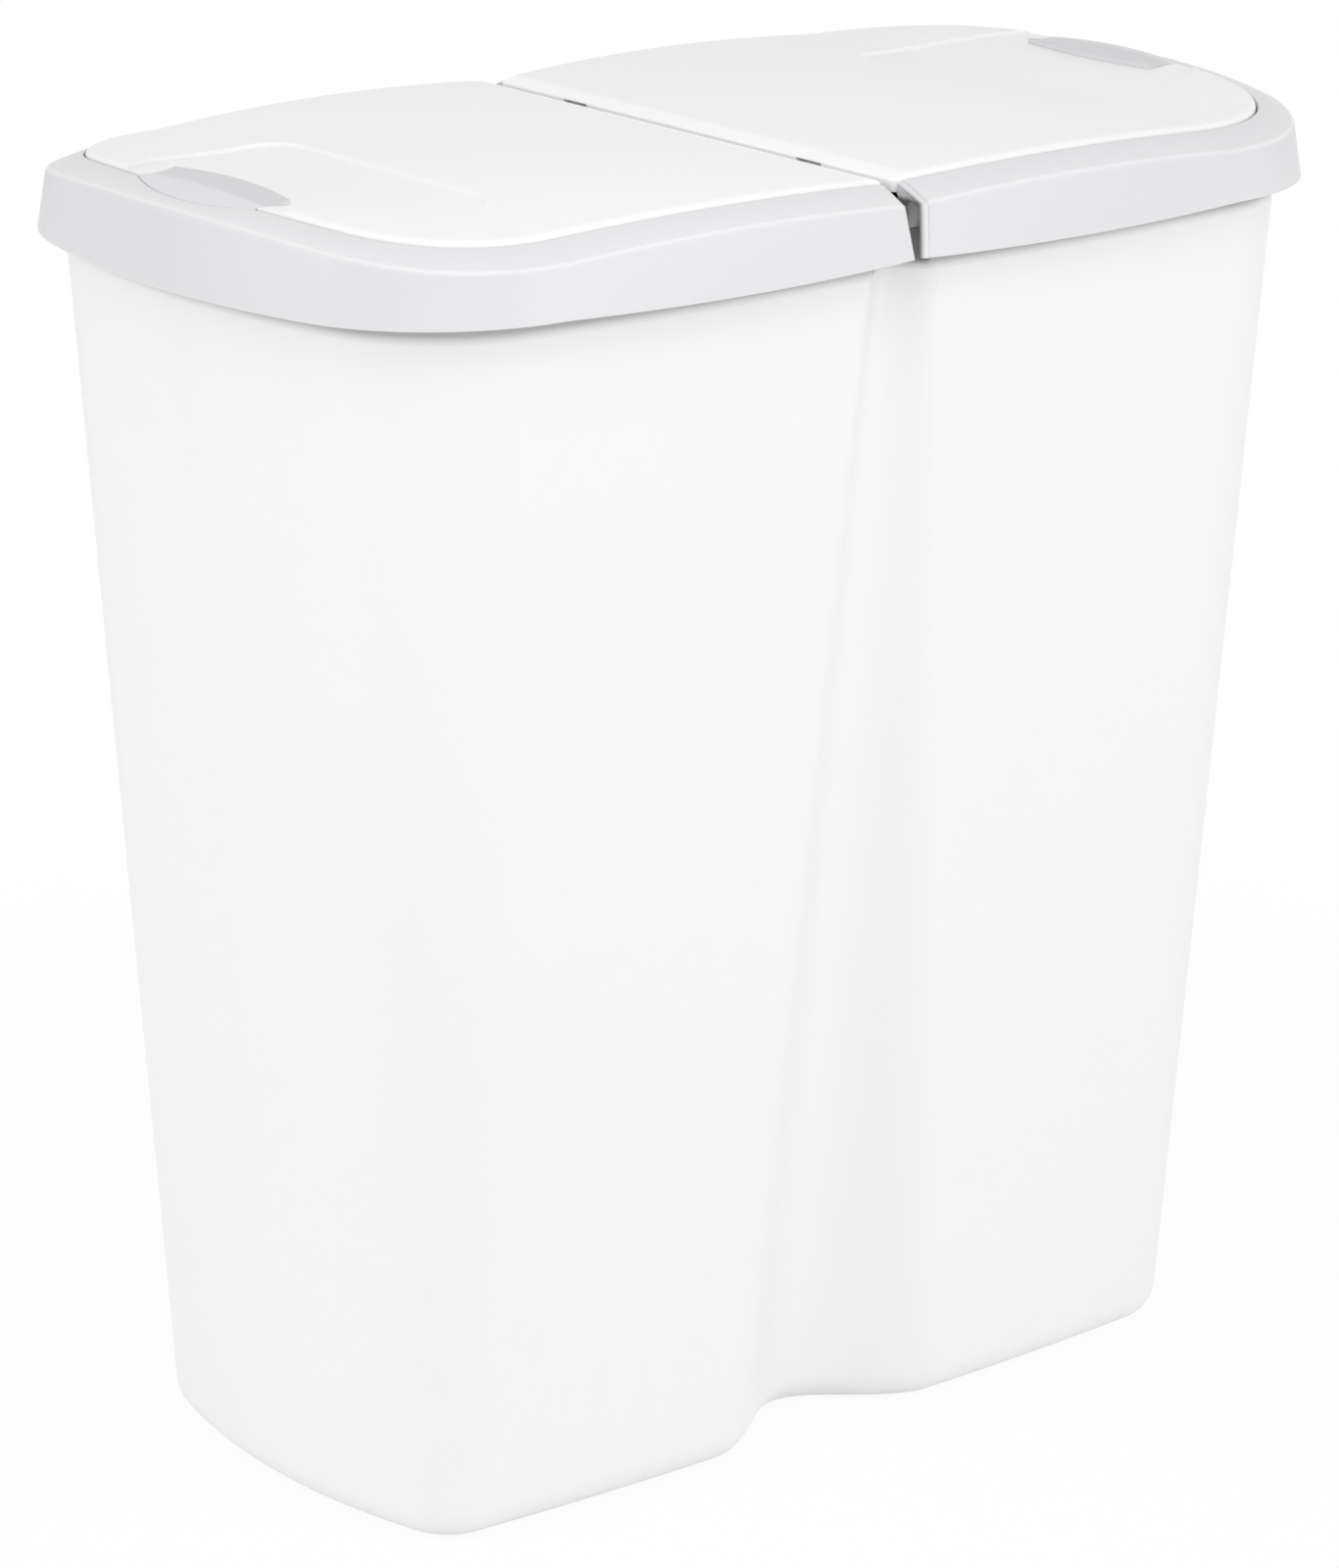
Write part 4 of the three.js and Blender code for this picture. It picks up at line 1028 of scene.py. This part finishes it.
# Painted highlight: a whiter colour along the seam's edge.
lid_marks = [("painted_highlight", (0.97, 0.965, 0.967))]
lid_plastic = moulded("lid_polypropylene", (0.92, 0.908, 0.912), 0.42, 0.3, lid_marks)
only_finish(lid, lid_plastic)
lid_left = mirrored_copy(lid, "lid_left_cover")
for cover, node, rider in (
    (lid, "lid_right", "right_lid"),
    (lid_left, "lid_left", "left_lid"),
):
    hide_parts(node)
    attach(cover, rider)


# ---- Latches ----
# A small grey moulding in the outer end of each lid. Its top is a shallow dish
# that rises outward to a ridge and then rolls over the rim's slope. Stub pins on
# two cheeks turn in the lid's ears, and a leg runs down inside the rim.
LATCH_THICK = 2.3 * mm
LIP_UNDER = 0.4 * mm
LIP_PROUD = 0.15 * mm
DISH_SAG = 0.5 * mm

# The ridge's distance in from the lid's edge, at the latch's middle and at its sides.
RIDGE_BACK = (4.8 * mm, 2.6 * mm)

# Heights at the latch's sides and at its middle: the ridge over the lid, the inner edge.
CREST_RISE = (-1.4 * mm, -0.1 * mm)
INNER_EDGE_Z = (524.2 * mm, 525.2 * mm)


def ridge_x(y):
    """The line where the dish ends and the lip begins."""
    return end_x(LID_SHAPE, y) - mix(*RIDGE_BACK, (y / LATCH_HALF) ** 2)


def latch_top(x, y):
    """Height of the latch's upper face: dish, ridge and lip."""
    t = 1 - (y / LATCH_HALF) ** 2
    crest = lid_z(ridge_x(y), y) + mix(*CREST_RISE, t)
    if x <= ridge_x(y):
        inner = mix(*INNER_EDGE_Z, t)
        u = (x - latch_inner_x(y)) / (ridge_x(y) - latch_inner_x(y))
        sag = DISH_SAG * math.sin(math.pi * min(1.0, max(0.0, u)))
        return mix(inner, crest, max(0.0, u)) - sag
    edge = latch_edge_x(y)
    lip = slope_z(edge, y) + LIP_PROUD
    return mix(crest, lip, min(1.0, (x - ridge_x(y)) / (edge - ridge_x(y))) ** 1.8)


def latch_bottom(x, y):
    """Height of its lower face, which clears the pad and rests in the pocket."""
    plain = min(latch_top(x, y) - LATCH_THICK, lid_z(x, y) - PAD_DEPTH - 1 * mm)
    if x < ridge_x(y) - 1 * mm:
        return plain
    return max(plain, slope_z(max(x, end_x(LID_SHAPE, y)), y) - LIP_UNDER)


LATCH_ACROSS = 48
LATCH_ALONG = 60
EDGE_SOFT = 0.7 * mm
EDGE_DROP = 0.5 * mm
steps_x = [i / LATCH_ACROSS for i in range(LATCH_ACROSS + 1)]
steps_y = [mix(-1, 1, j / LATCH_ALONG) for j in range(LATCH_ALONG + 1)]
latch = sheet_block("latch_right_pad", steps_x, steps_y, lambda x, y: -1, lambda x, y: 1)
for vertex in latch.data.vertices:
    u, v, top_side = vertex.co.x, vertex.co.y, vertex.co.z > 0
    y = LATCH_HALF * math.copysign(1 - (1 - abs(v)) ** 1.3, v)
    u = u ** 1.2 if u < 0.5 else 1 - (1 - u) ** 1.2
    if u < 0.5:
        x = mix(latch_inner_x(y), ridge_x(y), u / 0.5)
    else:
        x = mix(ridge_x(y), latch_edge_x(y), u / 0.5 - 1)
    near = min(LATCH_HALF - abs(y), x - latch_inner_x(y), latch_edge_x(y) - x)
    drop = 0.0
    if near < EDGE_SOFT:
        drop = (1 - math.sqrt(max(0.0, 1 - ((EDGE_SOFT - near) / EDGE_SOFT) ** 2))) * EDGE_DROP
    z = latch_top(x, y) - drop if top_side else latch_bottom(x, y)
    vertex.co = (x, y, z)

# Cheeks with the pins, and the leg beside the rim's inner lip.
PIN_END_Y = 39.1 * mm
LEG_HALF = 14 * mm
LEG_THICK = 1.8 * mm
LEG_LENGTH = 13 * mm
LEG_CLEAR = 0.6 * mm
for side in (-1, 1):
    low, high = sorted((side * (LATCH_HALF - EAR_WIDE), side * LATCH_HALF))
    cheek = rod(LATCH_EAR_R, low, high, LATCH_AXIS_X, LATCH_AXIS_Z)
    roof = latch_top(LATCH_AXIS_X, high) - LATCH_THICK / 2
    web = block((LATCH_AXIS_X, low, LATCH_AXIS_Z), (LATCH_AXIS_X + LATCH_EAR_R, high, roof))
    combine(cheek, web, "UNION")
    low, high = sorted((side * (LATCH_HALF - EAR_WIDE / 2), side * PIN_END_Y))
    combine(cheek, rod(LATCH_PIN_R, low, high, LATCH_AXIS_X, LATCH_AXIS_Z), "UNION")
    combine(latch, cheek, "UNION")
leg_out = end_x(inset(RIM_SHAPE, LEDGE_IN), LEG_HALF) - LEG_CLEAR
leg_top = latch_top(leg_out - LEG_THICK, LEG_HALF) - LATCH_THICK / 2
leg = block((leg_out - LEG_THICK, -LEG_HALF, leg_top - LEG_LENGTH), (leg_out, LEG_HALF, leg_top))
combine(latch, leg, "UNION")
smooth_faces(latch, 45)


def darker_dish(x, y, z):
    """The dish inside the ridge, which the thumb presses, given a darker grey."""
    inside = smooth((ridge_x(y) - abs(x) - 0.4 * mm) / (1 * mm))
    return inside if z > latch_top(x, y) - 0.9 * mm else 0.0


def latch_ridge_highlight(x, y, z):
    """Painted highlight along the ridge between the dish and the lip."""
    return math.exp(-((abs(x) - ridge_x(y)) / (0.6 * mm)) ** 2)


mark_places(latch, "darker_dish", darker_dish)
mark_places(latch, "painted_highlight", latch_ridge_highlight)
# A darker grey over the dish, and a painted highlight along the ridge.
latch_marks = [("darker_dish", (0.64, 0.625, 0.645)), ("painted_highlight", (0.85, 0.84, 0.855))]
latch_plastic = moulded("latch_polypropylene", (0.735, 0.722, 0.742), 0.42, 0.9, latch_marks)
only_finish(latch, latch_plastic)
latch_left = mirrored_copy(latch, "latch_left_pad")
for pad, node, rider in (
    (latch, "latch_right", "right_latch"),
    (latch_left, "latch_left", "left_latch"),
):
    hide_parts(node)
    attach(pad, rider)
